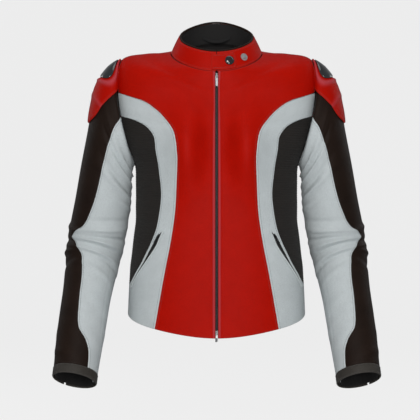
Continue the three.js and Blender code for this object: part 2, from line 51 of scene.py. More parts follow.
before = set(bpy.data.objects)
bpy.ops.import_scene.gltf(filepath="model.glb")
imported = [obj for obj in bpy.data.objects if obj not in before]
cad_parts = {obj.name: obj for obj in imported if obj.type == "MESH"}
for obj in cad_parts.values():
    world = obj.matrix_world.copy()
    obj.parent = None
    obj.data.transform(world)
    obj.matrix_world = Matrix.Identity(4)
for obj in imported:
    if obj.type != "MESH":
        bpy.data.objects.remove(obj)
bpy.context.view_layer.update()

MM = 0.001
SIDES = (("left", 1), ("right", -1))

# ---- the jacket's stations ----
# Body, from the hem up to the neck: level of the side, half width, depth to the back, level of the
# centre front, level of the centre back, squareness, shift of the middle.
BODY = [
    (-518, 177, 102, -560, -530, 2.35, 0),
    (-455, 174, 100, -484, -460, 2.35, 0),
    (-390, 168, 92, -402, -392, 2.35, 0),
    (-320, 161, 85, -322, -322, 2.35, 0),
    (-262, 161, 92, -256, -262, 2.4, 0),
    (-222, 163, 99, -208, -214, 2.5, 0),
    (-180, 180, 104, -172, -160, 2.7, 0),
    (-120, 196, 107, -140, -105, 2.8, 0),
    (-60, 200, 106, -112, -56, 2.8, 0),
    (-12, 189, 98, -88, -20, 2.5, 0),
    (0, 142, 80, -64, 8, 2.2, -2),
    (1, 91, 66, -41, 28, 2.1, -5),
]
NECK = len(BODY) - 1
BUST, BUST_LEVEL, BUST_TALL, BUST_ANGLE, BUST_WIDE = 30, -195, 80, 34, 17
# The centre front is one straight line, on which the zip lies, and it comes forward towards the hem.
ZIP_TOP_Y, ZIP_TOP_Z, LEAN = -80, -41, 0.0752
ARMHOLE_STATION, ARMHOLE_HALF, ARMHOLE_FRONT, ARMHOLE_BACK = 7, 2, 10.5, 19
COLLAR_TOP_HALF_WIDTH = 75
COLLAR_TOP_DEPTH = (66, 60)  # to the front and to the back
COLLAR_TOP_Y, COLLAR_TOP_LEVEL = -6, 33
COLLAR_TOP_RISE = (-35, 34)  # of the front and of the back above the sides

# Sleeve, below the armhole: middle x, y, z, half width, half depth, roll and pitch in degrees.
SLEEVE = [
    (190, 0, -129.5, 99, 61, 75.7, 0),
    (202, 1, -146.5, 91.5, 64, 67.5, 0),
    (209, 2, -172, 77.2, 64, 58.8, 0),
    (214, 3, -204, 64, 62, 46, 0),
    (221, 5, -250, 56.5, 60, 27, 0),
    (228, 8, -300, 56, 59, 14, -2),
    (236, 11, -345, 57, 60, 11, 0),
    (244, 10, -388, 56.5, 60, 10, 12),
    (250.5, -3, -430, 52, 54, 10, 23),
    (257, -25, -478, 48, 50, 10, 25),
    (263, -48, -526, 47, 48, 10, 25),
    (269, -71, -576, 45.5, 46.5, 10, 25),
    (273, -89, -616, 43.5, 44.5, 9, 25),
    (275.5, -101, -642, 43, 44, 9, 25),
]
CUFF = len(SLEEVE)
ELBOW = 8.5
ELBOW_REACH = 0.055  # metres on each side of the elbow to the bend's start and end points, which are worked out but not used

# Seams, as station and angle in degrees, from the centre front on the body and from the outer arm
# on the sleeve.
BAND_OUTER = [(0, 51.8), (0.8, 49.3), (1.5, 47), (2.45, 43.2), (3.2, 41.4), (4.25, 41.4), (5.2, 41.8),
              (6.35, 44.5), (7.08, 52.1), (7.45, 58.3), (7.66, 64.5), (7.74, 73),
              (7.78, 80.2)]
BAND_INNER = [(0.85, 103), (1, 84), (1.4, 72), (1.85, 65.2), (2.5, 57.5), (3.05, 54.8), (3.6, 54),
              (4.5, 56.5), (5.3, 58), (6, 57.8), (6.3, 59), (6.6, 62.5), (6.78, 67), (6.88, 72.2),
              (6.95, 79.6)]
SIDE_SEAM = [(0, 106), (1, 104), (2.2, 102), (3.4, 99), (4.4, 94), (5, 90)]
POCKET = [(0.95, 77.8), (1.8, 62.8), (2.55, 51.5)]
WHITE_FRONT = [(0, 92), (2, 91.5), (2.8, 90), (4.3, 83), (5.35, 79), (6.4, 70), (7.1, 60), (7.75, 36),
               (8.1, 50), (8.45, 61), (8.85, 71), (9.65, 78), (10.75, 81), (11.6, 89), (12, 110), (12.5, 124),
               (14, 130)]
WHITE_BACK = [(0, 184), (4.5, 184), (7, 200), (14, 205)]
CAP_FRONT = [(0.17, 63), (1.31, 61), (2.05, 58), (2.94, 46), (3.4, 31), (3.7, 12)]
OUTER_BACK = -72
CUFF_ZIP_ANGLE = -58

# Folds pressed into the leather: station, angle, tilt in stations per 90 degrees, reach in degrees,
# half width in stations, height in millimetres.
SLEEVE_FOLDS = [
    (3.1, 140, 1.1, 42, 0.16, 3.2), (3.7, 128, 1.2, 46, 0.17, -2.6), (4.2, 140, 1.0, 44, 0.15, 3.0),
    (4.7, 122, 0.9, 40, 0.16, -2.2), (5.2, 136, 0.8, 44, 0.14, 2.4), (5.8, 150, 0.5, 40, 0.13, 1.6),
    (6.6, 120, -0.3, 46, 0.12, -1.5), (7.15, 105, -0.4, 60, 0.12, 2.2), (7.55, 128, -0.25, 55, 0.11, -2.6),
    (7.9, 100, 0.1, 62, 0.1, 2.8), (8.2, 125, 0.2, 50, 0.09, -2.4), (8.5, 95, 0.35, 62, 0.1, 2.6),
    (8.85, 130, 0.45, 48, 0.1, -1.8), (9.3, 100, 0.5, 46, 0.12, 1.5), (7.2, -5, 0.3, 60, 0.14, 1.6),
    (7.9, 20, 0.2, 60, 0.12, -1.6), (8.5, 0, 0.1, 70, 0.13, 1.8), (9.1, 15, -0.3, 50, 0.14, -1.1),
    (3.4, 215, -0.6, 40, 0.16, 2.2), (4.1, 225, -0.7, 44, 0.16, -1.8), (5.0, 220, -0.5, 40, 0.16, 1.5),
    (7.6, 235, 0.2, 60, 0.13, 1.4), (8.9, 245, -0.2, 60, 0.16, 1.6), (10.4, 110, 0.5, 36, 0.2, 0.9),
    (11.3, 150, 0.5, 36, 0.2, 0.9), (12.6, 40, 0.3, 46, 0.16, 0.8), (11.9, -40, -0.3, 50, 0.2, 0.8),
]
BODY_FOLDS = [
    (7.2, 60, -0.8, 12, 0.25, 1.1), (6.5, 66, -0.9, 12, 0.22, -0.9), (8.3, 62, -0.9, 16, 0.3, 1.2),
    (9.3, 40, 0.4, 26, 0.22, 1.0), (9.8, 62, 0.3, 16, 0.2, -1.0), (3.3, 72, 0.5, 16, 0.25, 1.2),
    (2.7, 76, 0.4, 16, 0.22, -1.0), (3.6, 30, 0.3, 18, 0.3, 0.7), (1.5, 86, 0.4, 18, 0.25, 0.8),
    (3.1, 120, -0.3, 26, 0.22, 1.6), (2.6, 128, -0.3, 30, 0.2, -1.4), (3.6, 135, -0.2, 30, 0.22, 1.4),
    (6.2, 118, 0.8, 16, 0.3, 1.6), (7.2, 122, 0.9, 16, 0.3, -1.4), (4.6, 112, 0.6, 16, 0.3, 1.2),
]


class JacketSizes(bpy.types.PropertyGroup):
    """Sizes of the leather and its sewing."""

    leather: bpy.props.FloatProperty(
        name="Leather", description="Thickness of a leather panel", default=0.0019, unit="LENGTH")
    cloth: bpy.props.FloatProperty(
        name="Lining", description="Thickness of the lining", default=0.0011, unit="LENGTH")
    weave: bpy.props.FloatProperty(
        name="Mesh step", description="Spacing of a panel's points", default=0.0034, unit="LENGTH")
    turned: bpy.props.FloatProperty(
        name="Turned edge", description="Radius of a panel's rounded edge", default=0.0016, unit="LENGTH")
    rib: bpy.props.FloatProperty(
        name="Rib pitch", description="Spacing of the side panels' ribs", default=0.0046, unit="LENGTH")
    stitch: bpy.props.FloatProperty(
        name="Stitch pitch", description="Spacing of the stitches", default=0.0036, unit="LENGTH")
    inset: bpy.props.FloatProperty(
        name="Stitch inset", description="Distance of a stitch line from its seam", default=0.0036,
        unit="LENGTH")
    tooth: bpy.props.FloatProperty(
        name="Tooth pitch", description="Spacing of the front zip's teeth", default=0.0027, unit="LENGTH")


def colour_property(name, description, default):
    return bpy.props.FloatVectorProperty(
        name=name, description=description, default=default, size=3, subtype="COLOR", min=0, max=1)


class JacketColours(bpy.types.PropertyGroup):
    """Colours of the leather, cloth and metal."""

    red: colour_property("Red leather", "Front, back and collar", (0.5, 0.0055, 0.0008))
    pale: colour_property("Pale leather", "Bands and inner sleeves", (0.62, 0.67, 0.68))
    black: colour_property("Black leather", "Outer sleeves", (0.017, 0.0092, 0.0062))
    grey: colour_property("Cuff leather", "Cuff bands", (0.05, 0.045, 0.039))
    ribbed: colour_property("Ribbed cloth", "Side panels", (0.015, 0.0092, 0.0052))
    lining: colour_property("Lining", "Lining and pocket bags", (0.008, 0.0066, 0.0062))
    gloss: colour_property("Shoulder guard", "Glossy guards on the shoulders", (0.01, 0.0115, 0.013))
    steel: colour_property("Bright metal", "Slider, pull and studs", (0.72, 0.73, 0.74))


def sizes():
    return bpy.context.scene.jacket_sizes


def colours():
    return bpy.context.scene.jacket_colours


# ---- curves and surfaces, in millimetres ----
def smooth_between(a, b, d, e, f):
    """Value a share f of the way from b to d, on a smooth curve through a, b, d and e."""
    square = (2 * a - 5 * b + 4 * d - e) * f**2
    cube = (3 * b - a - 3 * d + e) * f**3
    return 0.5 * (2 * b + (d - a) * f + square + cube)


def between(stations, at):
    """Smooth value of every column of evenly spaced stations, also between two of them."""
    table = np.asarray(stations, float)
    last = len(table) - 1
    t = np.clip(at, 0, last - 1e-9)
    i = np.floor(t).astype(int)
    f = (t - i)[..., None]
    b, d = table[i], table[i + 1]
    a = np.where((i > 0)[..., None], table[np.maximum(i - 1, 0)], 2 * b - d)
    e = np.where((i + 2 <= last)[..., None], table[np.minimum(i + 2, last)], 2 * d - b)
    return smooth_between(a, b, d, e, f)


def along(points, at):
    """Smooth line through (position, value) pairs, by Hermite pieces."""
    x, y = np.asarray(points, float).T
    slope = np.empty_like(y)
    slope[1:-1] = (y[2:] - y[:-2]) / (x[2:] - x[:-2])
    slope[0] = (y[1] - y[0]) / (x[1] - x[0])
    slope[-1] = (y[-1] - y[-2]) / (x[-1] - x[-2])
    at = np.clip(at, x[0], x[-1])
    i = np.clip(np.searchsorted(x, at, side="right") - 1, 0, len(x) - 2)
    w = x[i + 1] - x[i]
    t = (at - x[i]) / w
    rise = y[i + 1] - y[i]
    bend = (1 - t) * slope[i] - t * slope[i + 1] + (2 * t - 1) * rise / w
    return y[i] + rise * t + t * (1 - t) * w * bend


def lift(c):
    """How fast the level of a body station turns from its side value to its centre value."""
    soft, power = 0.0064, 0.45
    rest = soft**power
    return ((c * c + soft) ** power - rest) / ((1 + soft) ** power - rest)


def front_depth(level):
    return LEAN * (ZIP_TOP_Z - level) - ZIP_TOP_Y


def body_point(angle, station):
    angle, station = np.broadcast_arrays(np.radians(angle), np.asarray(station, float))
    side, half, back, level_front, level_back, square, shift = np.moveaxis(between(BODY, station), -1, 0)
    s, c = np.sin(angle), np.cos(angle)
    depth = np.where(c > 0, shift + front_depth(level_front), back)
    r = ((np.abs(c) / depth) ** square + (np.abs(s) / half) ** square) ** (-1 / square)
    z = side + (np.where(c > 0, level_front, level_back) - side) * lift(np.abs(c))
    turn = np.degrees(np.abs(np.arctan2(s, c)))
    swell = np.exp(-(((z - BUST_LEVEL) / BUST_TALL) ** 2) - ((turn - BUST_ANGLE) / BUST_WIDE) ** 2)
    bust = np.where(c > 0, BUST * swell, 0)
    return np.stack([r * s, shift - r * c - bust, z], -1)


def armhole_reach(station, reach):
    t = (np.asarray(station, float) - ARMHOLE_STATION) / ARMHOLE_HALF
    return reach * np.sqrt(np.clip(1 - t * t, 0, None))


def armhole_front(station):
    return 90 - armhole_reach(station, ARMHOLE_FRONT)


def armhole_back(station):
    return 90 + armhole_reach(station, ARMHOLE_BACK)


def sleeve_rings(angle):
    s, c = np.sin(np.radians(angle)), np.cos(np.radians(angle))
    reach = np.where(s > 0, ARMHOLE_FRONT, ARMHOLE_BACK)
    rings = [body_point(90 - reach * s, ARMHOLE_STATION + ARMHOLE_HALF * c)]
    for x, y, z, half, depth, roll, pitch in SLEEVE:
        roll, pitch = math.radians(roll), math.radians(pitch)
        ring = [
            x + half * c * math.cos(roll),
            y - depth * s * math.cos(pitch),
            z + half * c * math.sin(roll) + depth * s * math.sin(pitch),
        ]
        rings.append(np.stack(ring, -1))
    return np.stack(rings)


def sleeve_point(angle, station):
    angle, station = np.broadcast_arrays(np.asarray(angle, float), np.asarray(station, float))
    rings = sleeve_rings(angle)
    last = len(rings) - 1
    t = np.clip(station, 0, last - 1e-9)
    i = np.floor(t).astype(int)
    f = (t - i)[..., None]

    def ring(n):
        return np.take_along_axis(rings, np.clip(n, 0, last)[None, ..., None], 0)[0]

    b, d = ring(i), ring(i + 1)
    a = np.where((i > 0)[..., None], ring(i - 1), 2 * b - d)
    e = np.where((i + 2 <= last)[..., None], ring(i + 2), 2 * d - b)
    return smooth_between(a, b, d, e, f)


def collar_point(angle, height):
    """The collar runs straight from the neck seam (0) to its top edge (1)."""
    angle, height = np.broadcast_arrays(np.asarray(angle, float), np.asarray(height, float))
    s, c = np.sin(np.radians(angle)), np.cos(np.radians(angle))
    depth = np.where(c > 0, *COLLAR_TOP_DEPTH)
    square = 2.1
    r = ((np.abs(c) / depth) ** square + (np.abs(s) / COLLAR_TOP_HALF_WIDTH) ** square) ** (-1 / square)
    level = COLLAR_TOP_LEVEL + np.where(c > 0, *COLLAR_TOP_RISE) * np.abs(c)
    top = np.stack([r * s, COLLAR_TOP_Y - r * c, level], -1)
    low = body_point(angle, NECK)
    return low + (top - low) * height[..., None]


def outward(surface, u, v):
    """Unit normal of a surface, pointing out of the jacket."""
    step = 1e-3
    across = surface(u + 40 * step, v) - surface(u - 40 * step, v)
    up = surface(u, v + step) - surface(u, v - step)
    n = np.cross(across, up)
    return n / np.linalg.norm(n, axis=-1, keepdims=True)


def fold_height(folds, u, v):
    """Sum of soft ridges, in millimetres."""
    height = np.zeros(np.broadcast(u, v).shape)
    for station, angle, tilt, reach, width, high in folds:
        turn = (u - angle + 180) % 360 - 180
        away = v - station - tilt * turn / 90
        height += high * np.exp(-((away / width) ** 2) - (turn / reach) ** 2)
    return height


def sleeve_folds(u, v):
    """Folds of the sleeve, which fade out towards the armhole."""
    depth, calm_stations = 1.8, 1.5
    return depth * np.clip(v / calm_stations, 0, 1) * fold_height(SLEEVE_FOLDS, u, v)


def body_folds(u, v):
    return fold_height(BODY_FOLDS, 180 - np.abs((u % 360) - 180), v)


def no_folds(u, v):
    return np.zeros(np.broadcast(u, v).shape)


# ---- panels ----
class Panel:
    """A patch of leather or cloth between two edge lines of a surface, from one station to another."""

    def __init__(self, surface, start, end, left, right, off=0.0, thick=None, folds=no_folds, fine=None,
                 turned=None, crown=0.0):
        self.surface, self.start, self.end, self.left, self.right = surface, start, end, left, right
        self.off, self.folds, self.crown = off, folds, crown
        self.thick = sizes().leather / MM if thick is None else thick
        self.turned = sizes().turned / MM if turned is None else turned
        self.step = sizes().weave / MM if fine is None else fine
        self.stations, self.down = self._stations()

    def _spread(self, length, step):
        """Positions along a length, closer together at its two turned edges."""
        edge = np.array([0, 0.12, 0.35, 0.65, 1]) * self.turned
        edge = edge[edge < length / 2.2]
        count = max(int(round((length - 2 * edge[-1]) / step)), 1)
        middle = np.linspace(edge[-1], length - edge[-1], count + 1)
        return np.concatenate([edge[:-1], middle, (length - edge[:-1])[::-1]])

    def _stations(self):
        fine = np.linspace(self.start, self.end, 900)
        middle = (self.left(fine) + self.right(fine)) / 2
        p = self.surface(middle, fine)
        run = np.concatenate([[0], np.cumsum(np.linalg.norm(np.diff(p, axis=0), axis=1))])
        at = self._spread(run[-1], self.step)
        return np.interp(at, run, fine), at

    def width_at(self, v):
        s = np.linspace(0, 1, 17)[:, None]
        u = self.left(v) + (self.right(v) - self.left(v)) * s
        p = self.surface(u, np.broadcast_to(v, u.shape))
        return np.linalg.norm(np.diff(p, axis=0), axis=-1).sum(0)

    def grid(self):
        v = self.stations
        wide = self.width_at(v)
        share = self._spread(wide.max(), self.step)
        edge = int((share <= self.turned * 1.001).sum())
        s = np.empty((len(v), len(share)))
        for row, width in enumerate(wide):
            at = share.copy()
            if edge < len(share) // 2:
                rim = min(share[edge - 1], width * 0.3)
                at[:edge] *= rim / max(share[edge - 1], 1e-9)
                at[-edge:] = width - at[:edge][::-1]
                at[edge:-edge] = np.linspace(at[edge - 1], at[-edge], len(share) - 2 * edge + 2)[1:-1]
            else:
                at = at / at[-1] * width
            s[row] = at
        u = self.left(v)[:, None] + (self.right(v) - self.left(v))[:, None] * s / wide[:, None]
        sides = np.minimum(s, wide[:, None] - s)
        near = np.minimum(sides, np.minimum(self.down, self.down[-1] - self.down)[:, None])
        self.from_left, self.from_right = s, wide[:, None] - s
        return u, np.broadcast_to(v[:, None], u.shape), s - wide[:, None] / 2, near

    def place(self, u, v, extra=0.0, near=None):
        """Points on the panel's face, in millimetres."""
        off = self.off(v) if callable(self.off) else self.off
        height = off + self.folds(u, v) + extra
        if self.crown and near is not None:
            height = height + self.crown * (1 - np.exp(-near / 14))
        return self.surface(u, v) + outward(self.surface, u, v) * np.asarray(height)[..., None]

    def build(self, name, mirror=1, relief=None):
        u, v, x, near = self.grid()
        inside = np.clip(1 - near / self.turned, 0, 1)
        drop = 0.8 * min(self.thick, self.turned) * (1 - np.sqrt(1 - inside**2))
        ridge = relief(self, u, v) if relief else np.zeros_like(u)
        face = self.place(u, v, ridge - drop, near)
        back = self.place(u, v, -self.thick, near)
        rows, cols = u.shape
        count = rows * cols
        index = np.arange(count).reshape(rows, cols)
        corners = [index[:-1, :-1], index[:-1, 1:], index[1:, 1:], index[1:, :-1]]
        quads = np.stack(corners, -1).reshape(-1, 4)
        loop = np.concatenate([index[0, :-1], index[:-1, -1], index[-1, :0:-1], index[:0:-1, 0]])
        after = np.roll(loop, -1)
        rim = np.stack([after, loop, loop + count, after + count], -1)
        faces = np.concatenate([quads, quads[:, ::-1] + count, rim])
        points = np.concatenate([face.reshape(-1, 3), back.reshape(-1, 3)]) * MM
        if mirror < 0:
            points[:, 0] *= -1
            faces = faces[:, ::-1]
        obj = mesh_object(name, points, faces.tolist())
        flat = np.stack([x, np.broadcast_to(self.down[:, None], x.shape)], -1).reshape(-1, 2)
        give_uv(obj, np.concatenate([flat, flat]) * MM)
        # Closeness to an edge; leathers paint their edges lighter from it, partly wear, partly painted
        # highlight.
        give_values(obj, "edge", np.tile(np.exp(-((near / 1.6) ** 2)).ravel(), 2))
        # Relief height; red leather paints a highlight where it is raised, and ribbed cloth paints shade in
        # its valleys.
        give_values(obj, "ridge", np.tile(ridge.ravel(), 2))
        return obj

    def flat_size(self):
        """Width, length and area of the cut piece, in metres."""
        u, v, _, _ = self.grid()
        p = self.surface(u, v) * MM
        wide = np.linalg.norm(np.diff(p, axis=1), axis=-1).sum(1)
        long = np.linalg.norm(np.diff(p, axis=0), axis=-1).sum(0)
        area = (wide[:-1] + wide[1:]) / 2 * np.linalg.norm(np.diff(p, axis=0), axis=-1).mean(1)
        width, length = float(wide.max()), float(long.mean())
        return width, length, float(np.clip(area.sum(), 0.3 * width * length, width * length))

    def line(self, side, inset):
        """Points and normals along a line set in from one edge: left, right, start or end."""
        if side in ("start", "end"):
            run = np.interp(inset if side == "start" else self.down[-1] - inset, self.down, self.stations)
            gap = inset / self.width_at(np.array([run]))[0]
            s = np.linspace(gap, 1 - gap, 400)
            v = np.full_like(s, run)
            u = self.left(v) + (self.right(v) - self.left(v)) * s
        else:
            v = np.linspace(self.start, self.end, 700)
            share = np.clip(inset / self.width_at(v), 0, 0.45)
            share = share if side == "left" else 1 - share
            u = self.left(v) + (self.right(v) - self.left(v)) * share
        p = self.place(u, v)
        return p, outward(self.surface, u, v)


def mesh_object(name, points, faces):
    mesh = bpy.data.meshes.new(name)
    mesh.from_pydata(points.tolist(), [], faces)
    mesh.polygons.foreach_set("use_smooth", np.ones(len(mesh.polygons), bool))
    mesh.update()
    obj = bpy.data.objects.new(name, mesh)
    bpy.context.scene.collection.objects.link(obj)
    return obj


def give_uv(obj, flat):
    layer = obj.data.uv_layers.new(name="UVMap")
    corner = np.empty(len(obj.data.loops), int)
    obj.data.loops.foreach_get("vertex_index", corner)
    layer.data.foreach_set("uv", np.asarray(flat, np.float32)[corner].ravel())


def give_values(obj, name, values):
    made = obj.data.attributes.new(name, "FLOAT", "POINT")
    made.data.foreach_set("value", np.asarray(values, np.float32))


def resample(points, pitch):
    """Evenly spaced distances along a line of points, and the distance of each of those points."""
    run = np.concatenate([[0], np.cumsum(np.linalg.norm(np.diff(points, axis=0), axis=1))])
    count = max(int(run[-1] / pitch), 1)
    return (np.arange(count) + 0.5) * run[-1] / count, run


THREAD = 0.42  # radius of a stitch's thread
AROUND_THREAD = 6


def stitch_mesh(name, lines, mirror=1):
    """One object of many small stitches, each a short thread lying in the leather along a line."""
    pitch = sizes().stitch / MM
    half = pitch * 0.4
    ring = np.array([(math.cos(a), math.sin(a)) for a in np.radians(np.arange(0, 360, 360 // AROUND_THREAD))])
    shape = [(-half, 0.35), (-half * 0.6, 0.95), (half * 0.6, 0.95), (half, 0.35)]
    points, faces, uv = [], [], []
    for line, normal in lines:
        at, run = resample(line, pitch)

        def value(table, where):
            return np.stack([np.interp(where, run, table[:, k]) for k in range(3)], -1)

        here, out = value(line, at), value(normal, at)
        way = value(line, at + 0.5) - value(line, at - 0.5)
        way /= np.linalg.norm(way, axis=1, keepdims=True)
        across = np.cross(out, way)
        for n in range(len(at)):
            base = len(points)
            for step, size in shape:
                lay = THREAD * size
                for c, s in ring:
                    rise = out[n] * (s * lay * 0.8 + 0.1)
                    points.append(here[n] + way[n] * step + across[n] * c * lay + rise)
                    uv.append((step, c))
            faces += tube_faces(base, len(shape), AROUND_THREAD)
    points = np.array(points) * MM
    if mirror < 0:
        points[:, 0] *= -1
        faces = [face[::-1] for face in faces]
    obj = mesh_object(name, points, faces)
    give_uv(obj, np.array(uv) * MM)
    check_outward(obj)
    return obj


def tube_faces(base, rows, sides):
    """Faces of a closed tube whose points run ring by ring from a first point."""
    faces = []
    for k in range(rows - 1):
        for m in range(sides):
            a, b = base + k * sides + m, base + k * sides + (m + 1) % sides
            faces.append((a, b, b + sides, a + sides))
    faces.append([base + m for m in range(sides - 1, -1, -1)])
    faces.append([base + sides * (rows - 1) + m for m in range(sides)])
    return faces


def check_outward(obj):
    """Turns the faces outward where a closed mesh was made inside out."""
    bm = bmesh.new()
    bm.from_mesh(obj.data)
    if bm.calc_volume(signed=True) < 0:
        bmesh.ops.reverse_faces(bm, faces=bm.faces)
        bm.to_mesh(obj.data)
    bm.free()


# ---- finishes ----
def tree_of(name):
    material = bpy.data.materials.new(name)
    material.use_nodes = True
    nodes, links = material.node_tree.nodes, material.node_tree.links
    return material, nodes, links, nodes["Principled BSDF"]


def node(nodes, kind, **values):
    made = nodes.new(kind)
    for key, value in values.items():
        if key in made.inputs:
            made.inputs[key].default_value = value
        else:
            setattr(made, key, value)
    return made


def varied_colour(nodes, links, coords, colour, scale, amount):
    """The colour drifts a little darker and lighter over the surface."""
    drift = node(nodes, "ShaderNodeTexNoise", Scale=scale, Detail=4.0, Roughness=0.6)
    links.new(coords, drift.inputs["Vector"])
    ramp = nodes.new("ShaderNodeValToRGB")
    ramp.color_ramp.elements[0].position = 0.3
    ramp.color_ramp.elements[1].position = 0.7
    ramp.color_ramp.elements[0].color = (*(c * (1 - amount) for c in colour), 1)
    ramp.color_ramp.elements[1].color = (*(min(c * (1 + amount), 1) for c in colour), 1)
    links.new(drift.outputs["Fac"], ramp.inputs["Fac"])
    return ramp.outputs["Color"]


def worn_and_highlit_edges(nodes, links, colour, lighter, strength, where="edge"):
    """Turned edges, or raised places, are made a little lighter: partly rubbed wear, partly a painted
    highlight.
    """
    edge = node(nodes, "ShaderNodeAttribute", attribute_name=where)
    scale = node(nodes, "ShaderNodeMath", operation="MULTIPLY", use_clamp=True)
    scale.inputs[1].default_value = strength
    links.new(edge.outputs["Fac"], scale.inputs[0])
    mix = node(nodes, "ShaderNodeMix", data_type="RGBA")
    links.new(scale.outputs[0], mix.inputs["Factor"])
    links.new(colour, mix.inputs[6])
    mix.inputs[7].default_value = (*lighter, 1)
    return mix.outputs[2]


def own_uv(nodes):
    """The piece's own UV map, which lies flat in metres."""
    uv = nodes.new("ShaderNodeUVMap")
    uv.uv_map = "UVMap"
    return uv.outputs["UV"]


def darkened(nodes, links, colour, shade, amount):
    """The colour multiplied by a shade, to the given amount."""
    mix = node(nodes, "ShaderNodeMix", data_type="RGBA", blend_type="MULTIPLY")
    mix.inputs["Factor"].default_value = amount
    links.new(colour, mix.inputs[6])
    links.new(shade, mix.inputs[7])
    return mix.outputs[2]


def bumped(nodes, links, height, strength, distance, under=None):
    """Normals raised by a height, over the bump under them where one is given."""
    bump = node(nodes, "ShaderNodeBump", Strength=strength, Distance=distance)
    links.new(height, bump.inputs["Height"])
    if under is not None:
        links.new(under, bump.inputs["Normal"])
    return bump.outputs["Normal"]


def spread_over(nodes, links, value, low, high):
    spread = node(nodes, "ShaderNodeMapRange")
    spread.inputs["To Min"].default_value = low
    spread.inputs["To Max"].default_value = high
    links.new(value, spread.inputs["Value"])
    return spread.outputs["Result"]


def leather(name, colour, rough, lighter, edge_wear_and_highlight, drift, shine, ridge_highlight=None):
    """Grained leather with creases, whose turned edges are made lighter, partly as rubbed wear and partly as
    a painted highlight; a ridge colour, where given, paints a highlight on raised places.
    """
    material, nodes, links, shader = tree_of(name)
    coords = own_uv(nodes)
    base = varied_colour(nodes, links, coords, colour, 22.0, drift)
    cells = node(nodes, "ShaderNodeTexVoronoi", Scale=620.0, feature="DISTANCE_TO_EDGE")
    warp = node(nodes, "ShaderNodeTexNoise", Scale=180.0, Detail=3.0)
    links.new(coords, warp.inputs["Vector"])
    shift = node(nodes, "ShaderNodeMix", data_type="VECTOR")
    shift.inputs["Factor"].default_value = 0.006
    links.new(coords, shift.inputs[4])
    links.new(warp.outputs["Color"], shift.inputs[5])
    links.new(shift.outputs[1], cells.inputs["Vector"])
    pores = nodes.new("ShaderNodeValToRGB")
    pores.color_ramp.elements[0].position = 0.0
    pores.color_ramp.elements[1].position = 0.16
    links.new(cells.outputs["Distance"], pores.inputs["Fac"])
    crease = node(nodes, "ShaderNodeTexNoise", Scale=90.0, Detail=8.0, Roughness=0.62)
    links.new(coords, crease.inputs["Vector"])
    look = darkened(nodes, links, base, pores.outputs["Color"], 0.22)
    # Turned edges made lighter: partly rubbed wear, partly painted highlight.
    look = worn_and_highlit_edges(nodes, links, look, lighter, edge_wear_and_highlight)
    # Raised ridges get a painted highlight in the ridge colour.
    if ridge_highlight:
        look = worn_and_highlit_edges(nodes, links, look, ridge_highlight, 0.42, "ridge")
    links.new(look, shader.inputs["Base Color"])
    creased = bumped(nodes, links, crease.outputs["Fac"], 0.16, 0.0012)
    grained = bumped(nodes, links, pores.outputs["Color"], 0.35, 0.0003, creased)
    links.new(grained, shader.inputs["Normal"])
    worn = spread_over(nodes, links, crease.outputs["Fac"], rough - 0.07, rough + 0.1)
    links.new(worn, shader.inputs["Roughness"])
    shader.inputs["Specular IOR Level"].default_value = shine
    return material


def woven(name, colour, pitch, rough, sheen, ribs=False):
    """Plain weave from two crossed waves, or a ribbed knit whose valleys are painted darker as shade."""
    material, nodes, links, shader = tree_of(name)
    coords = own_uv(nodes)
    base = varied_colour(nodes, links, coords, colour, 40.0, 0.18)
    both = node(nodes, "ShaderNodeMath", operation="MULTIPLY")
    for way, direction in enumerate(("X", "Y")):
        wave = node(nodes, "ShaderNodeTexWave", Scale=math.pi / 10 / pitch, bands_direction=direction)
        wave.inputs["Distortion"].default_value = 0.4
        links.new(coords, wave.inputs["Vector"])
        links.new(wave.outputs["Fac"], both.inputs[way])
    look = darkened(nodes, links, base, both.outputs[0], 0.5)
    # Painted shade: with ribs, the valleys are darkened by their depth below the ridges.
    if ribs:
        ridge = node(nodes, "ShaderNodeAttribute", attribute_name="ridge")
        level = node(nodes, "ShaderNodeMapRange")
        level.inputs["From Min"].default_value = -0.7
        level.inputs["From Max"].default_value = 0.5
        level.inputs["To Min"].default_value = 0.25
        links.new(ridge.outputs["Fac"], level.inputs["Value"])
        look = darkened(nodes, links, look, level.outputs["Result"], 1.0)
    links.new(look, shader.inputs["Base Color"])
    links.new(bumped(nodes, links, both.outputs[0], 0.5, 0.0003), shader.inputs["Normal"])
    shader.inputs["Roughness"].default_value = rough
    shader.inputs["Sheen Weight"].default_value = sheen
    return material


def metal(name, colour, rough, metallic=1.0):
    """Metal with fine rubbed scratches and a roughness that drifts."""
    material, nodes, links, shader = tree_of(name)
    place = nodes.new("ShaderNodeTexCoord")
    stretch = node(nodes, "ShaderNodeMapping")
    stretch.inputs["Scale"].default_value = (1.0, 1.0, 7.0)
    links.new(place.outputs["Object"], stretch.inputs["Vector"])
    grain = node(nodes, "ShaderNodeTexNoise", Scale=900.0, Detail=6.0)
    links.new(stretch.outputs["Vector"], grain.inputs["Vector"])
    drift = node(nodes, "ShaderNodeTexNoise", Scale=160.0, Detail=3.0)
    links.new(place.outputs["Object"], drift.inputs["Vector"])
    ramp = nodes.new("ShaderNodeValToRGB")
    ramp.color_ramp.elements[0].color = (*(c * 0.78 for c in colour), 1)
    ramp.color_ramp.elements[1].color = (*(min(c * 1.08, 1) for c in colour), 1)
    links.new(drift.outputs["Fac"], ramp.inputs["Fac"])
    links.new(ramp.outputs["Color"], shader.inputs["Base Color"])
    worn = spread_over(nodes, links, drift.outputs["Fac"], max(rough - 0.08, 0.04), rough + 0.12)
    links.new(worn, shader.inputs["Roughness"])
    links.new(bumped(nodes, links, grain.outputs["Fac"], 0.06, 0.0002), shader.inputs["Normal"])
    shader.inputs["Metallic"].default_value = metallic
    return material


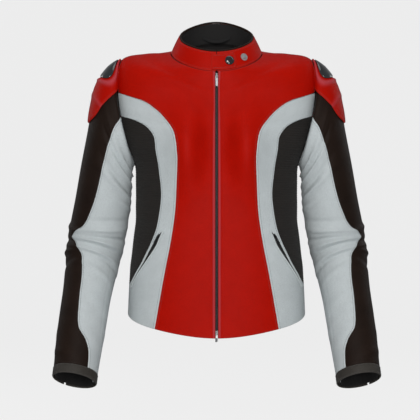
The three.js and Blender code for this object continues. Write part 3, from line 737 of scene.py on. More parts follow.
def gloss(name, colour):
    """Smooth moulded skin with a clear coat and faint orange-peel."""
    material, nodes, links, shader = tree_of(name)
    coords = own_uv(nodes)
    base = varied_colour(nodes, links, coords, colour, 60.0, 0.2)
    # Turned edges are made lighter: partly rubbed wear, partly painted highlight.
    edges_worn_and_highlit = worn_and_highlit_edges(nodes, links, base, tuple(c * 2 + 0.03 for c in colour), 0.4)
    links.new(edges_worn_and_highlit, shader.inputs["Base Color"])
    peel = node(nodes, "ShaderNodeTexNoise", Scale=320.0, Detail=3.0)
    links.new(coords, peel.inputs["Vector"])
    links.new(bumped(nodes, links, peel.outputs["Fac"], 0.08, 0.0005), shader.inputs["Normal"])
    shader.inputs["Roughness"].default_value = 0.14
    shader.inputs["Coat Weight"].default_value = 0.6
    shader.inputs["Coat Roughness"].default_value = 0.08
    return material


def foam(name, colour):
    """Soft foam with open cells."""
    material, nodes, links, shader = tree_of(name)
    coords = own_uv(nodes)
    holes = node(nodes, "ShaderNodeTexVoronoi", Scale=420.0)
    links.new(coords, holes.inputs["Vector"])
    links.new(varied_colour(nodes, links, coords, colour, 80.0, 0.2), shader.inputs["Base Color"])
    links.new(bumped(nodes, links, holes.outputs["Distance"], 0.6, 0.0006), shader.inputs["Normal"])
    shader.inputs["Roughness"].default_value = 0.8
    return material


FINISHES = {}


def recipes():
    """Maker, colour and remaining values of every finish."""
    c = colours()
    return {
        # Each leather's lighter colour and its strength paint turned edges lighter, partly wear, partly
        # painted highlight; red leather's last colour is a painted pinkish highlight on raised ridges.
        "red_leather": (leather, c.red, 0.42, (0.55, 0.045, 0.035), 0.3, 0.06, 0.05, (0.5, 0.06, 0.075)),
        "pale_leather": (leather, c.pale, 0.46, (0.7, 0.73, 0.71), 0.25, 0.05, 0.2),
        "black_leather": (leather, c.black, 0.5, (0.035, 0.024, 0.02), 0.3, 0.2, 0.1),
        "grey_leather": (leather, c.grey, 0.5, (0.11, 0.1, 0.09), 0.4, 0.15, 0.15),
        # Ribbed cloth paints shade into its rib valleys.
        "ribbed_cloth": (woven, c.ribbed, 0.0007, 0.8, 0.04, True),
        "lining_cloth": (woven, c.lining, 0.0009, 0.8, 0.05),
        "zip_cloth": (woven, (0.010, 0.0095, 0.0095), 0.0006, 0.85, 0.1),
        "gloss_plastic": (gloss, c.gloss),
        "black_metal": (metal, (0.022, 0.022, 0.024), 0.34, 0.6),
        "zip_metal": (metal, (0.2, 0.2, 0.21), 0.38),
        "bright_metal": (metal, c.steel, 0.32),
        "tooth_metal": (metal, (0.012, 0.011, 0.012), 0.5, 0.0),
        "foam": (foam, (0.05, 0.055, 0.065)),
        "thread_red": (woven, (0.42, 0.02, 0.012), 0.0004, 0.6, 0.2),
        "thread_pale": (woven, (0.36, 0.4, 0.43), 0.0004, 0.6, 0.2),
        "thread_black": (woven, (0.03, 0.026, 0.025), 0.0004, 0.6, 0.2),
    }


def finish(name):
    """Each finish is made once, when it is first asked for."""
    if name not in FINISHES:
        maker, colour, *values = recipes()[name]
        FINISHES[name] = maker(name, tuple(colour), *values)
    return FINISHES[name]


def dress(obj, finish_name):
    obj.data.materials.clear()
    obj.data.materials.append(finish(finish_name))


def hang(obj, body, bends, mirror):
    """A piece rides its body; a piece that crosses the elbow of the side named is only baked in place and
    rides no body.
    """
    if bends:
        bend_at_elbow(obj, mirror)
    else:
        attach(obj, body)


def cut_piece(panel, name, finish_name, nodes, body="torso", mirror=1, relief=None,
              bends=None):
    """Makes a panel, dresses it, works out its flat size without using it and hangs it on its body; a piece
    across the elbow is only baked in place.
    """
    obj = panel.build(name, mirror, relief)
    dress(obj, finish_name)
    width, length, area = panel.flat_size()
    if nodes:
        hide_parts(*nodes)
    hang(obj, body, bends, mirror)


def padded_piece(panel, name, finish_name, node_name, body="torso", mirror=1, relief=None):
    """A soft filled piece, closed all round."""
    obj = panel.build(name, mirror, relief)
    dress(obj, finish_name)
    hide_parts(node_name)
    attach(obj, body)


def sew(panel, name, thread, sides, body="torso", mirror=1, bends=None, insets=None):
    """Rows of stitches set in from the named edges of a panel."""
    insets = insets or (sizes().inset / MM,)
    lines = [panel.line(side, inset) for side in sides for inset in insets]
    obj = stitch_mesh(name, lines, mirror)
    dress(obj, thread)
    hang(obj, body, bends, mirror)


def bend_at_elbow(obj, mirror):
    """Works out where the elbow's bend would start and end, uses neither, and bakes the piece's transform
    into its mesh.
    """
    def centre(station):
        return np.array([sleeve_point(a, station) for a in (0.0, 90.0, 180.0, 270.0)]).mean(0) * MM

    middle = centre(ELBOW)
    way = centre(ELBOW + 1.6) - centre(ELBOW - 1.6)
    way /= np.linalg.norm(way)
    start, end = middle - way * ELBOW_REACH, middle + way * ELBOW_REACH
    start[0] *= mirror
    end[0] *= mirror
    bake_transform(obj)


# ---- edges of the panels ----
BODY_GAP = 0.05
SLEEVE_GAP = 0.15
SLIT_HALF = 2.6
SLEEVE_START = 0.012
SLEEVE_END = 13.3


def seam(points, side=0.0):
    """Angle of a seam at a station, set aside by an angle."""
    return lambda k: along(points, k) + side


def fixed(angle):
    return lambda k: np.full_like(np.asarray(k, float), angle)


def upright(half):
    """Angle at which an upright line beside the centre front crosses a station."""
    return lambda k: np.degrees(np.arcsin(half / front_depth(between(BODY, k)[..., 3])))


def front_edge(k):
    return np.where(k < BAND_OUTER[-1][0], along(BAND_OUTER, k), armhole_front(k)) - BODY_GAP


def band_edge(k):
    inner = np.where(k < BAND_INNER[-1][0], along(BAND_INNER, k), armhole_front(k))
    return np.where(k <= BAND_INNER[0][0], along(SIDE_SEAM, k), inner) - BODY_GAP


def side_edge(k):
    return np.where(k <= 5, along(SIDE_SEAM, k), armhole_front(k)) - BODY_GAP


def back_edge(k):
    return np.where(k <= 5, along(SIDE_SEAM, k), armhole_back(k)) + BODY_GAP


def back_far_edge(k):
    return 360 - back_edge(k)


def bead(distance, middle, half, high):
    """Height of a rounded bead that runs along an edge."""
    return high * np.sqrt(np.clip(1 - ((distance - middle) / half) ** 2, 0, None))


# ---- the zip's own frame: u across, v up from the neck seam, both in millimetres ----
ZIP_TILT = math.atan(LEAN)
ZIP_BOTTOM = -519.0
ZIP_TOP = -1.0


def zip_plane(u, v):
    u, v = np.broadcast_arrays(np.asarray(u, float), np.asarray(v, float))
    y = ZIP_TOP_Y + v * math.sin(ZIP_TILT)
    z = ZIP_TOP_Z + v * math.cos(ZIP_TILT)
    return np.stack([u, y, z], -1)


def zip_frame():
    """Metres: x to the wearer's left, y into the jacket, z up along the zip."""
    place = Matrix.Translation((0, ZIP_TOP_Y * MM, ZIP_TOP_Z * MM))
    return place @ Matrix.Rotation(-ZIP_TILT, 4, "X")


def seat_on(surface, angle, station, off, mirror=1):
    """Frame of a small slider: x across the seam, y away from the surface, z up along the seam."""
    nudge = 0.05
    a = np.array([angle(station), angle(station + nudge)], float).ravel()
    k = np.array([station, station + nudge])
    normal = outward(surface, a, k)
    p = surface(a, k) + normal * off
    out = normal[0]
    up = p[1] - p[0]
    up -= out * (up @ out)
    up /= np.linalg.norm(up)
    if up[2] < 0:
        up = -up
    across = np.cross(out, up)
    seat = Matrix.Identity(4)
    for row in range(3):
        seat[row][0], seat[row][1], seat[row][2] = across[row], out[row], up[row]
        seat[row][3] = p[0][row] * MM
    return Matrix.Scale(mirror, 4, (1, 0, 0)) @ seat


# ---- hard pieces, modelled with the usual operators ----
def nothing_selected():
    if bpy.context.object and bpy.context.object.mode != "OBJECT":
        bpy.ops.object.mode_set(mode="OBJECT")
    bpy.ops.object.select_all(action="DESELECT")


def only(obj):
    nothing_selected()
    obj.select_set(True)
    bpy.context.view_layer.objects.active = obj


def bevelled(obj, width):
    only(obj)
    bevel = obj.modifiers.new("Bevel", "BEVEL")
    bevel.width, bevel.segments = width * MM, 3
    bevel.limit_method, bevel.angle_limit = "ANGLE", math.radians(30)
    bpy.ops.object.modifier_apply(modifier="Bevel")
    bpy.ops.object.shade_smooth_by_angle(angle=math.radians(40))
    return obj


def block(x0, x1, y0, y1, z0, z1, bevel=0.25):
    """A bevelled block between two corners, in millimetres."""
    nothing_selected()
    middle = ((x0 + x1) / 2 * MM, (y0 + y1) / 2 * MM, (z0 + z1) / 2 * MM)
    bpy.ops.mesh.primitive_cube_add(size=1, location=middle)
    obj = bpy.context.object
    obj.scale = ((x1 - x0) * MM, (y1 - y0) * MM, (z1 - z0) * MM)
    bpy.ops.object.transform_apply(location=True, rotation=True, scale=True)
    return bevelled(obj, bevel) if bevel else obj


def choose_faces(obj, test):
    """Leaves the object in edit mode with the faces that pass the test selected."""
    only(obj)
    bpy.ops.object.mode_set(mode="EDIT")
    bpy.ops.mesh.select_mode(type="FACE")
    bpy.ops.mesh.select_all(action="DESELECT")
    bm = bmesh.from_edit_mesh(obj.data)
    for face in bm.faces:
        face.select_set(bool(test(face)))
    bm.select_flush_mode()
    bmesh.update_edit_mesh(obj.data)


def pressed(obj, test, rim, depth):
    """Sets the chosen faces in or out, inside a rim."""
    choose_faces(obj, test)
    bpy.ops.mesh.inset(thickness=rim * MM, depth=depth * MM)
    bpy.ops.object.mode_set(mode="OBJECT")


def tapered(obj, scale):
    """Narrows a block at its lower end."""
    choose_faces(obj, lambda f: f.normal.z < -0.9)
    bpy.ops.transform.resize(value=scale)
    bpy.ops.object.mode_set(mode="OBJECT")


def turned_stud(profile):
    """A round stud about the y axis, spun from (radius, height) pairs in millimetres."""
    nothing_selected()
    mesh = bpy.data.meshes.new("profile")
    edges = [(i, i + 1) for i in range(len(profile) - 1)]
    mesh.from_pydata([(r * MM, h * MM, 0) for r, h in profile], edges, [])
    obj = bpy.data.objects.new("profile", mesh)
    bpy.context.scene.collection.objects.link(obj)
    only(obj)
    bpy.ops.object.mode_set(mode="EDIT")
    bpy.ops.mesh.select_all(action="SELECT")
    bpy.ops.mesh.spin(steps=48, angle=2 * math.pi, center=(0, 0, 0), axis=(0, 1, 0))
    bpy.ops.mesh.select_all(action="SELECT")
    bpy.ops.mesh.remove_doubles(threshold=1e-6)
    bpy.ops.mesh.normals_make_consistent(inside=False)
    bpy.ops.object.mode_set(mode="OBJECT")
    bpy.ops.object.shade_smooth_by_angle(angle=math.radians(35))
    return obj


def assembled(name, pieces, frame_of_piece=None):
    """Joins loose pieces into one object and sets it in its place."""
    nothing_selected()
    for piece in pieces:
        piece.select_set(True)
    bpy.context.view_layer.objects.active = pieces[0]
    if len(pieces) > 1:
        bpy.ops.object.join()
    obj = bpy.context.object
    obj.name = name
    if frame_of_piece is not None:
        obj.data.transform(frame_of_piece)
        if frame_of_piece.to_3x3().determinant() < 0:
            obj.data.flip_normals()
    obj.data.update()
    return obj


def hard_piece(name, pieces, finish_name, place, nodes, body="torso"):
    obj = assembled(name, pieces, place)
    dress(obj, finish_name)
    if nodes:
        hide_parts(*nodes)
    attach(obj, body)


def small_slider():
    """Body, diamond and bridge of a small zip slider, wider at its nose."""
    body = block(-2.0, 2.0, 0, 1.8, -4.5, 4.5, bevel=0)
    pressed(body, lambda f: f.normal.y > 0.9, 0.6, -0.3)
    tapered(body, (0.72, 1, 1))
    bevelled(body, 0.35)
    bridge = [
        block(-0.9, 0.9, 3.0, 4.2, -2.8, 2.8, bevel=0.4),
        block(-0.9, 0.9, 1.4, 3.6, 1.4, 2.8, bevel=0.3),
        block(-0.9, 0.9, 1.4, 3.6, -2.8, -1.4, bevel=0.3),
    ]
    return [body, *bridge]


def flat_pull(half, thin, neck, length, arm):
    """A pull about its own pivot: a bar, two arms round the bridge and a tapered plate, pressed hollow."""
    nothing_selected()
    bpy.ops.mesh.primitive_cylinder_add(vertices=24, radius=thin * MM, depth=2 * half * MM * 0.92,
                                        rotation=(0, math.radians(90), 0))
    bar = bpy.context.object
    bpy.ops.object.transform_apply(location=True, rotation=True, scale=True)
    bpy.ops.object.shade_smooth_by_angle(angle=math.radians(40))
    arms = [block(arm, half, -thin, thin, -neck - 0.6, thin, bevel=0.2),
            block(-half, -arm, -thin, thin, -neck - 0.6, thin, bevel=0.2)]
    plate = block(-half, half, -thin, thin, -length, -neck, bevel=0)
    pressed(plate, lambda f: abs(f.normal.y) > 0.9, 0.8, -0.2)
    tapered(plate, (0.8, 1, 1))
    bevelled(plate, 0.22)
    return [bar, *arms, plate]


# ---- operators ----
HEM_LINE = 0.004  # where the panels start, just above the hem
NECK_LINE = 10.99  # where they end, just under the neck seam


def coil(axis, pitch, high, low):
    """Relief of a zip's coil, whose turns follow each other along an axis."""
    return lambda panel, u, v: high * np.abs(np.sin(np.pi * panel.surface(u, v)[..., axis] / pitch)) - low


class JACKET_OT_front(bpy.types.Operator):
    """Cut and sew the red front halves, the pale bands and the ribbed side panels."""

    bl_idname = "jacket.front"
    bl_label = "Front, bands and side panels"

    def execute(self, context):
        def rolled(panel, u, v):
            """The leather is rolled over a cord beside the zip, and the seam to the band is pressed down."""
            roll = bead(panel.from_left, 3.4, 3.4, 1.5)
            groove = -0.6 * np.exp(-((panel.from_left - 7.8) / 0.9) ** 2)
            return roll + groove

        def ribs(panel, u, v):
            z = panel.surface(u, v)[..., 2]
            wave = np.abs(np.sin(np.pi * z / (sizes().rib / MM)))
            edge = np.clip(np.minimum(panel.from_left, panel.from_right) / 2.5, 0, 1)
            return (wave**0.6 * 1.1 - 0.7) * edge

        def pocket_mouth(panel, u, v):
            """The band sinks under the pocket's zip and rises along its mouth."""
            away = (u - along(POCKET, v)) * 2.6
            inside = np.clip((v - 0.98) / 0.1, 0, 1) * np.clip((2.56 - v) / 0.08, 0, 1)
            return inside * (-1.0 * np.exp(-((away / 2.0) ** 2)))

        for side, mirror in SIDES:
            front = Panel(body_point, HEM_LINE, NECK_LINE, upright(SLIT_HALF), front_edge, folds=body_folds)
            cut_piece(front, f"front_leather_{side}", "red_leather", [f"front_panel_{side}"], mirror=mirror,
                      relief=rolled)
            sew(front, f"front_stitching_{side}", "thread_red", ["right"], mirror=mirror)
            band = Panel(body_point, HEM_LINE, 7.745, seam(BAND_OUTER, BODY_GAP), band_edge, folds=body_folds)
            cut_piece(band, f"band_leather_{side}", "pale_leather", [f"chest_band_{side}"], mirror=mirror,
                      relief=pocket_mouth)
            sew(band, f"band_stitching_{side}", "thread_pale", ["left", "right"], mirror=mirror)
            ribbed = Panel(body_point, 0.9, 6.92, seam(BAND_INNER, BODY_GAP), side_edge, fine=1.15,
                           folds=body_folds, turned=0.8)
            cut_piece(ribbed, f"side_cloth_{side}", "ribbed_cloth", [f"side_panel_{side}"], mirror=mirror,
                      relief=ribs)
        return {"FINISHED"}


def seam_tape(name, line, out, mirror=1, closed=False):
    """A soft round tape sewn in behind a seam, from points along it and their outward directions."""
    ahead = np.roll(line, -1, 0) - np.roll(line, 1, 0) if closed else np.gradient(line, axis=0)
    ahead /= np.linalg.norm(ahead, axis=1, keepdims=True)
    across = np.cross(out, ahead)
    across /= np.linalg.norm(across, axis=1, keepdims=True)
    turn = np.radians(np.arange(0, 360, 36))
    radius = 1.7
    middle = line - out * (1.2 + radius)
    round_it = across[:, None] * np.cos(turn)[:, None] + out[:, None] * np.sin(turn)[:, None]
    points = ((middle[:, None] + radius * round_it) * MM).reshape(-1, 3)
    points[:, 0] *= mirror
    rows, sides = len(line), len(turn)
    index = np.arange(rows * sides).reshape(rows, sides)
    after = np.roll(index, -1, 0) if closed else index[1:]
    before = index if closed else index[:-1]
    corners = [before, np.roll(before, -1, 1), np.roll(after, -1, 1), after]
    faces = np.stack(corners, -1).reshape(-1, 4).tolist()
    if not closed:
        faces += [index[0, ::-1].tolist(), index[-1].tolist()]
    obj = mesh_object(name, points, faces)
    run = np.concatenate([[0], np.cumsum(np.linalg.norm(np.diff(line, axis=0), axis=1))])
    flat = np.stack(np.broadcast_arrays(run[:, None], np.arange(sides) * 1.1), -1)
    give_uv(obj, flat.reshape(-1, 2) * MM)
    check_outward(obj)
    dress(obj, "lining_cloth")
    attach(obj, "torso")


class JACKET_OT_back(bpy.types.Operator):
    """Cut and sew the back and its yoke."""

    bl_idname = "jacket.back"
    bl_label = "Back and yoke"

    def execute(self, context):
        back = Panel(body_point, HEM_LINE, 7.995, back_edge, back_far_edge, folds=body_folds)
        cut_piece(back, "back_leather", "red_leather", ["back_panel"])
        sew(back, "back_stitching", "thread_red", ["end", "left", "right"])
        yoke = Panel(body_point, 8.004, NECK_LINE, back_edge, back_far_edge, folds=body_folds)
        cut_piece(yoke, "yoke_leather", "red_leather", ["back_yoke"])
        sew(yoke, "yoke_stitching", "thread_red", ["start"])
        round_arm = np.arange(0, 360, 3.0)
        line = sleeve_point(round_arm, 0.004)
        out = outward(sleeve_point, round_arm, 0.03)
        for side, mirror in SIDES:
            seam_tape(f"armhole_tape_{side}", line, out, mirror, closed=True)
        round_neck = np.arange(4, 357, 4.0)
        line = body_point(round_neck, 10.995)
        seam_tape("neck_tape", line, outward(collar_point, round_neck, 0.02))
        return {"FINISHED"}


class JACKET_OT_lining(bpy.types.Operator):
    """Hang the lining of the body and of the forearms."""

    bl_idname = "jacket.lining"
    bl_label = "Linings"

    def execute(self, context):
        cloth = sizes().cloth / MM

        def body_hang(k):
            return -3.9 - 5.1 * np.clip(np.minimum(k - 0.15, 10.8 - k) / 0.5, 0, 1)

        def arm_hang(w):
            return -8.8 + 5.1 * np.clip((w - 12.9) / 1.0, 0, 1)

        clear = 1.2
        for side, mirror in SIDES:
            front = Panel(body_point, 0.15, 10.8, upright(25), lambda k: armhole_front(k) - clear,
                          off=body_hang, thick=cloth, fine=6, turned=0.6)
            cut_piece(front, f"front_lining_cloth_{side}", "lining_cloth", [f"front_lining_{side}"],
                      mirror=mirror)
            arm = Panel(sleeve_point, 8.62, 13.9, fixed(-156), fixed(200), off=arm_hang, thick=cloth, fine=6,
                        turned=0.6)
            cut_piece(arm, f"forearm_lining_cloth_{side}", "lining_cloth", [f"forearm_lining_{side}"],
                      body=f"forearm_{side}", mirror=mirror)
        back = Panel(body_point, 0.15, 10.8, lambda k: armhole_back(k) + clear,
                     lambda k: 360 - armhole_back(k) - clear, off=body_hang, thick=cloth, fine=6, turned=0.6)
        cut_piece(back, "back_lining_cloth", "lining_cloth", ["back_lining"])
        facing = Panel(body_point, 10.25, 10.97, fixed(24), fixed(336), off=-2.2, thick=0.9, fine=4,
                       turned=0.4)
        cut_piece(facing, "neck_facing_cloth", "lining_cloth", [])
        return {"FINISHED"}


TAB_SNAP = (19.7, 0.46)
COLLAR_STUD = (43.5, 0.46)


class JACKET_OT_collar(bpy.types.Operator):
    """Make the stand collar, its padded rim, its lining, the snap tab and the loop to hang the jacket by."""

    bl_idname = "jacket.collar"
    bl_label = "Collar"

    def execute(self, context):
        end = 0.5
        shell = Panel(collar_point, 0.004, 1.0, fixed(end), fixed(360 - end), thick=2.2, fine=2.6,
                      crown=1.2)
        cut_piece(shell, "collar_leather", "red_leather", ["collar_shell"])
        sew(shell, "collar_stitching", "thread_red", ["start", "end"])
        inside = Panel(collar_point, 0.008, 1.0, fixed(end + 1), fixed(359 - end), off=-3, thick=1.8,
                       fine=4)
        cut_piece(inside, "collar_lining_cloth", "lining_cloth", ["collar_lining"])

        rim = Panel(collar_point, 1.008, 1.1, fixed(end), fixed(360 - end), off=-0.4, thick=4.6, fine=1.1,
                    turned=2.2, crown=0.3)
        padded_piece(rim, "collar_rim_pad", "black_leather", "collar_rim")

        def tab_end(h):
            return TAB_SNAP[0] + 11 - 14 * (h - TAB_SNAP[1]) ** 2

        tab = Panel(collar_point, 0.06, 0.86, fixed(-8.3), tab_end, off=2.8, thick=2.2, fine=1.6, crown=0.5)
        cut_piece(tab, "collar_tab_leather", "red_leather", ["collar_tab"], body="collar_tab")
        sew(tab, "collar_tab_stitching", "thread_red", ["start", "right", "end"], body="collar_tab")
        cap = [(0, 0), (8.2, 0), (9, 0.5), (9, 1.5), (8.5, 2.1), (7, 2.6), (6.7, 2.5), (6.3, 2.75), (3, 3.2),
               (0, 3.3)]
        hard_piece("snap_cap", [turned_stud(cap)], "gloss_plastic", seat_stud(collar_point, *TAB_SNAP, 3.4),
                   ["tab_snap"], "collar_tab")
        knob = [(0, 0), (7, 0), (7.5, 0.4), (7.4, 1), (5.6, 1.5), (5.1, 1.4), (4.4, 1.6), (4, 3.2),
                (3.4, 3.8), (1.2, 4.1), (0, 4.1)]
        hard_piece("stud_ring", [turned_stud(knob)], "bright_metal",
                   seat_stud(collar_point, *COLLAR_STUD, 0.9), ["collar_stud"])
        self.loop()
        return {"FINISHED"}

    def loop(self):
        """A flat tape bowed between its two sewn ends."""
        low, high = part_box("hang_loop")
        low, high = np.array(low) / MM, np.array(high) / MM
        middle = (low + high) / 2
        half = (high[0] - low[0]) / 2

        def tape(u, v):
            u, v = np.broadcast_arrays(np.asarray(u, float), np.asarray(v, float))
            t = v / half
            y = high[1] - 0.6 - 4.2 * (1 - t * t)
            z = high[2] - 3.6 - 8.6 * (1 - t * t) + u
            return np.stack([middle[0] + v, y, z], -1)

        strip = Panel(tape, -half + 0.2, half - 0.2, fixed(-3.3), fixed(3.3), thick=1.2, fine=1.2, turned=0.5)
        cut_piece(strip, "hang_tape", "zip_cloth", ["hang_loop"])


def seat_stud(surface, angle, station, off, mirror=1, inside=False):
    """Place of a stud on a surface: its own y points away from the leather."""
    a, k = np.array([angle]), np.array([station])
    out = Vector(outward(surface, a, k)[0])
    if inside:
        out = -out
    foot = Vector(surface(a, k)[0]) + out * off
    turn = Vector((0, 1, 0)).rotation_difference(out).to_matrix().to_4x4()
    return Matrix.Scale(mirror, 4, (1, 0, 0)) @ Matrix.Translation(foot * MM) @ turn


class JACKET_OT_front_zip(bpy.types.Operator):
    """Make the front zip: tapes, teeth, slider, pull, box, pin and the flap behind it."""

    bl_idname = "jacket.front_zip"
    bl_label = "Front zip"

    def execute(self, context):
        for side, mirror in SIDES:
            tape = Panel(zip_plane, ZIP_BOTTOM, ZIP_TOP, fixed(1.9), fixed(13), off=-3, thick=0.9, fine=1.8,
                         turned=0.4)
            cut_piece(tape, f"zip_tape_cloth_{side}", "zip_cloth", [f"zip_tape_{side}"], mirror=mirror)
            self.teeth(side, mirror)
        flap = Panel(zip_plane, ZIP_BOTTOM + 14, ZIP_TOP - 8, fixed(-13), fixed(22), off=-4.5, thick=1.5,
                     fine=3.4)
        cut_piece(flap, "wind_flap_leather", "black_leather", ["wind_flap"])
        place = zip_frame()
        top = ZIP_TOP - 3
        body = block(-2.4, 2.4, -1.4, 0.6, top - 13, top, bevel=0)
        tapered(body, (0.7, 1, 1))
        pressed(body, lambda f: f.normal.y < -0.9, 0.8, 0.3)
        bevelled(body, 0.35)
        middle = top - 4.9
        bridge = [
            block(-1.1, 1.1, -4.4, -2.8, middle - 3.1, middle + 3.3, bevel=0.5),
            block(-1.1, 1.1, -3.4, -1.2, middle + 1.5, middle + 3.3, bevel=0.4),
            block(-1.1, 1.1, -3.4, -1.2, middle - 3.1, middle - 1.5, bevel=0.4),
        ]
        hard_piece("zip_slider_metal", [body, *bridge], "zip_metal", place, ["zip_slider"], "zip_slider")
        pull = flat_pull(2.6, 0.4, 4.5, 21, 1.5)
        lift = Matrix.Translation((0, -2.1 * MM, middle * MM))
        hard_piece("zip_pull_metal", pull, "zip_metal", place @ lift, ["zip_pull"], "zip_pull")
        box = block(-2.7, 0.3, 1, 4.4, ZIP_BOTTOM - 8, ZIP_BOTTOM - 0.4, bevel=0)
        pressed(box, lambda f: f.normal.y < -0.9, 0.6, -0.3)
        hard_piece("zip_box_metal", [bevelled(box, 0.3)], "black_metal", place, ["zip_box"])
        pin = block(0.8, 2.6, 1.4, 4, ZIP_BOTTOM - 7, ZIP_BOTTOM - 0.4, bevel=0)
        tapered(pin, (0.6, 0.7, 1))
        hard_piece("zip_pin_metal", [bevelled(pin, 0.35)], "zip_metal", place, ["zip_pin"])
        return {"FINISHED"}

    def teeth(self, side, mirror):
        """One tooth is a small wedge with a nose; the row repeats it down the tape."""
        pitch = sizes().tooth / MM
        high = pitch * 0.52
        outline = [(2.7, 0.9), (0.4, 0.7), (-0.9, 0.62), (-1.5, 0.3)]
        depths = [(1.1, 0.6), (1.5, 1.0), (3.2, 1.0), (3.6, 0.6)]
        first, last = ZIP_TOP - 17, ZIP_BOTTOM + 2
        points, faces = [], []
        for n in range(int((first - last) / pitch)):
            z = first - n * pitch - (pitch / 2 if mirror < 0 else 0)
            base = len(points)
            for x, share in outline:
                points += [(x, y, z + share * high * lay / 2) for y, lay in depths]
                points += [(x, y, z - share * high * lay / 2) for y, lay in reversed(depths)]
            faces += tube_faces(base, len(outline), 2 * len(depths))
        points = np.array(points) * MM
        points[:, 0] *= mirror
        mesh = bpy.data.meshes.new(f"zip_teeth_{side}")
        mesh.from_pydata(points.tolist(), [], faces)
        mesh.transform(zip_frame())
        obj = bpy.data.objects.new(f"zip_teeth_{side}", mesh)
        bpy.context.scene.collection.objects.link(obj)
        check_outward(obj)
        dress(obj, "tooth_metal")
        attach(obj, "torso")


class JACKET_OT_pockets(bpy.types.Operator):
    """Make the two slanted hand pockets: welts, zip, slider, pull and bag."""

    bl_idname = "jacket.pockets"
    bl_label = "Hand pockets"

    def execute(self, context):
        line = seam(POCKET)

        def half(k):
            """The mouth gapes near its top and closes to a point at both ends."""
            return 0.25 + 1.15 * np.exp(-((k - 2.2) / np.where(k > 2.2, 0.18, 0.42)) ** 2)

        def mouth(way, gap):
            """A line beside the mouth: its front lip for -1, its back lip for 1."""
            return lambda k: line(k) + way * (half(k) + gap)

        for side, mirror in SIDES:
            strip = Panel(body_point, 0.97, 2.53, mouth(-1, 0), mouth(1, 0), off=0.55, thick=0.9, fine=0.5,
                          turned=0.3, folds=body_folds)
            cut_piece(strip, f"pocket_zip_strip_{side}", "zip_cloth", [f"pocket_zip_{side}"], mirror=mirror,
                      relief=coil(2, 1.3, 0.35, 0.2))
            lips = (("front", mouth(-1, 1.5), mouth(-1, 0.1)), ("back", mouth(1, 0.1), mouth(1, 1.5)))
            for lip, left, right in lips:
                welt = Panel(body_point, 0.94, 2.58, left, right, off=1.7, thick=1.6, fine=0.9, turned=1.4,
                             crown=0.3, folds=body_folds)
                cut_piece(welt, f"pocket_welt_{lip}_{side}", "pale_leather", [], mirror=mirror)
            bag = Panel(body_point, 0.7, 2.3, fixed(22), lambda k: line(np.maximum(k, 1)) - 2, off=-4.6,
                        thick=1.1, fine=5, turned=0.6)
            cut_piece(bag, f"pocket_bag_cloth_{side}", "lining_cloth", [f"pocket_bag_{side}"], mirror=mirror)
            seat = seat_on(body_point, line, 2.44, 2.6, mirror)
            hard_piece(f"pocket_slider_metal_{side}", small_slider(), "black_metal", seat,
                       [f"pocket_slider_{side}"], f"pocket_slider_{side}")
            lift = Matrix.Translation((0, 2.4 * MM, 0))
            hard_piece(f"pocket_pull_metal_{side}", flat_pull(2.2, 0.25, 4.6, 17, 1.3), "black_metal",
                       seat @ lift, [f"pocket_pull_{side}"], f"pocket_pull_{side}")
        return {"FINISHED"}


class JACKET_OT_sleeves(bpy.types.Operator):
    """Cut and sew the sleeves, whose long panels run past the elbow to the cuff."""

    bl_idname = "jacket.sleeves"
    bl_label = "Sleeves"

    def execute(self, context):
        step = 2.9

        def forearm_seam(panel, u, v):
            """A pressed seam runs down the middle of the pale forearm."""
            middle = (along(WHITE_FRONT, v) + along(WHITE_BACK, v)) / 2 + 6
            away = (u - middle) * 0.85
            return -0.9 * np.clip((v - 8.6) / 0.3, 0, 1) * np.exp(-((away / 0.9) ** 2))

        for side, mirror in SIDES:
            outer = Panel(sleeve_point, SLEEVE_START, SLEEVE_END, fixed(OUTER_BACK + SLEEVE_GAP),
                          seam(WHITE_FRONT, -SLEEVE_GAP), fine=step, folds=sleeve_folds)
            cut_piece(outer, f"sleeve_outer_leather_{side}", "black_leather",
                      [f"sleeve_outer_{side}", f"forearm_outer_{side}"], mirror=mirror, bends=side)
            inner = Panel(sleeve_point, SLEEVE_START, SLEEVE_END, seam(WHITE_FRONT, SLEEVE_GAP),
                          seam(WHITE_BACK, -SLEEVE_GAP), fine=step, folds=sleeve_folds)
            cut_piece(inner, f"sleeve_inner_leather_{side}", "pale_leather",
                      [f"sleeve_inner_{side}", f"forearm_inner_{side}"], mirror=mirror, bends=side,
                      relief=forearm_seam)
            sew(inner, f"sleeve_inner_stitching_{side}", "thread_pale", ["left"], mirror=mirror, bends=side)
            back = Panel(sleeve_point, SLEEVE_START, ELBOW - 0.012, seam(WHITE_BACK, SLEEVE_GAP),
                         fixed(360 + OUTER_BACK - SLEEVE_GAP), fine=step, folds=sleeve_folds)
            cut_piece(back, f"sleeve_back_leather_{side}", "red_leather", [f"sleeve_back_{side}"],
                      mirror=mirror, bends=side)
            low = Panel(sleeve_point, ELBOW + 0.012, SLEEVE_END, seam(WHITE_BACK, SLEEVE_GAP - 360),
                        fixed(OUTER_BACK - SLEEVE_GAP), fine=step, folds=sleeve_folds)
            cut_piece(low, f"forearm_back_leather_{side}", "black_leather", [], mirror=mirror, bends=side)
        return {"FINISHED"}


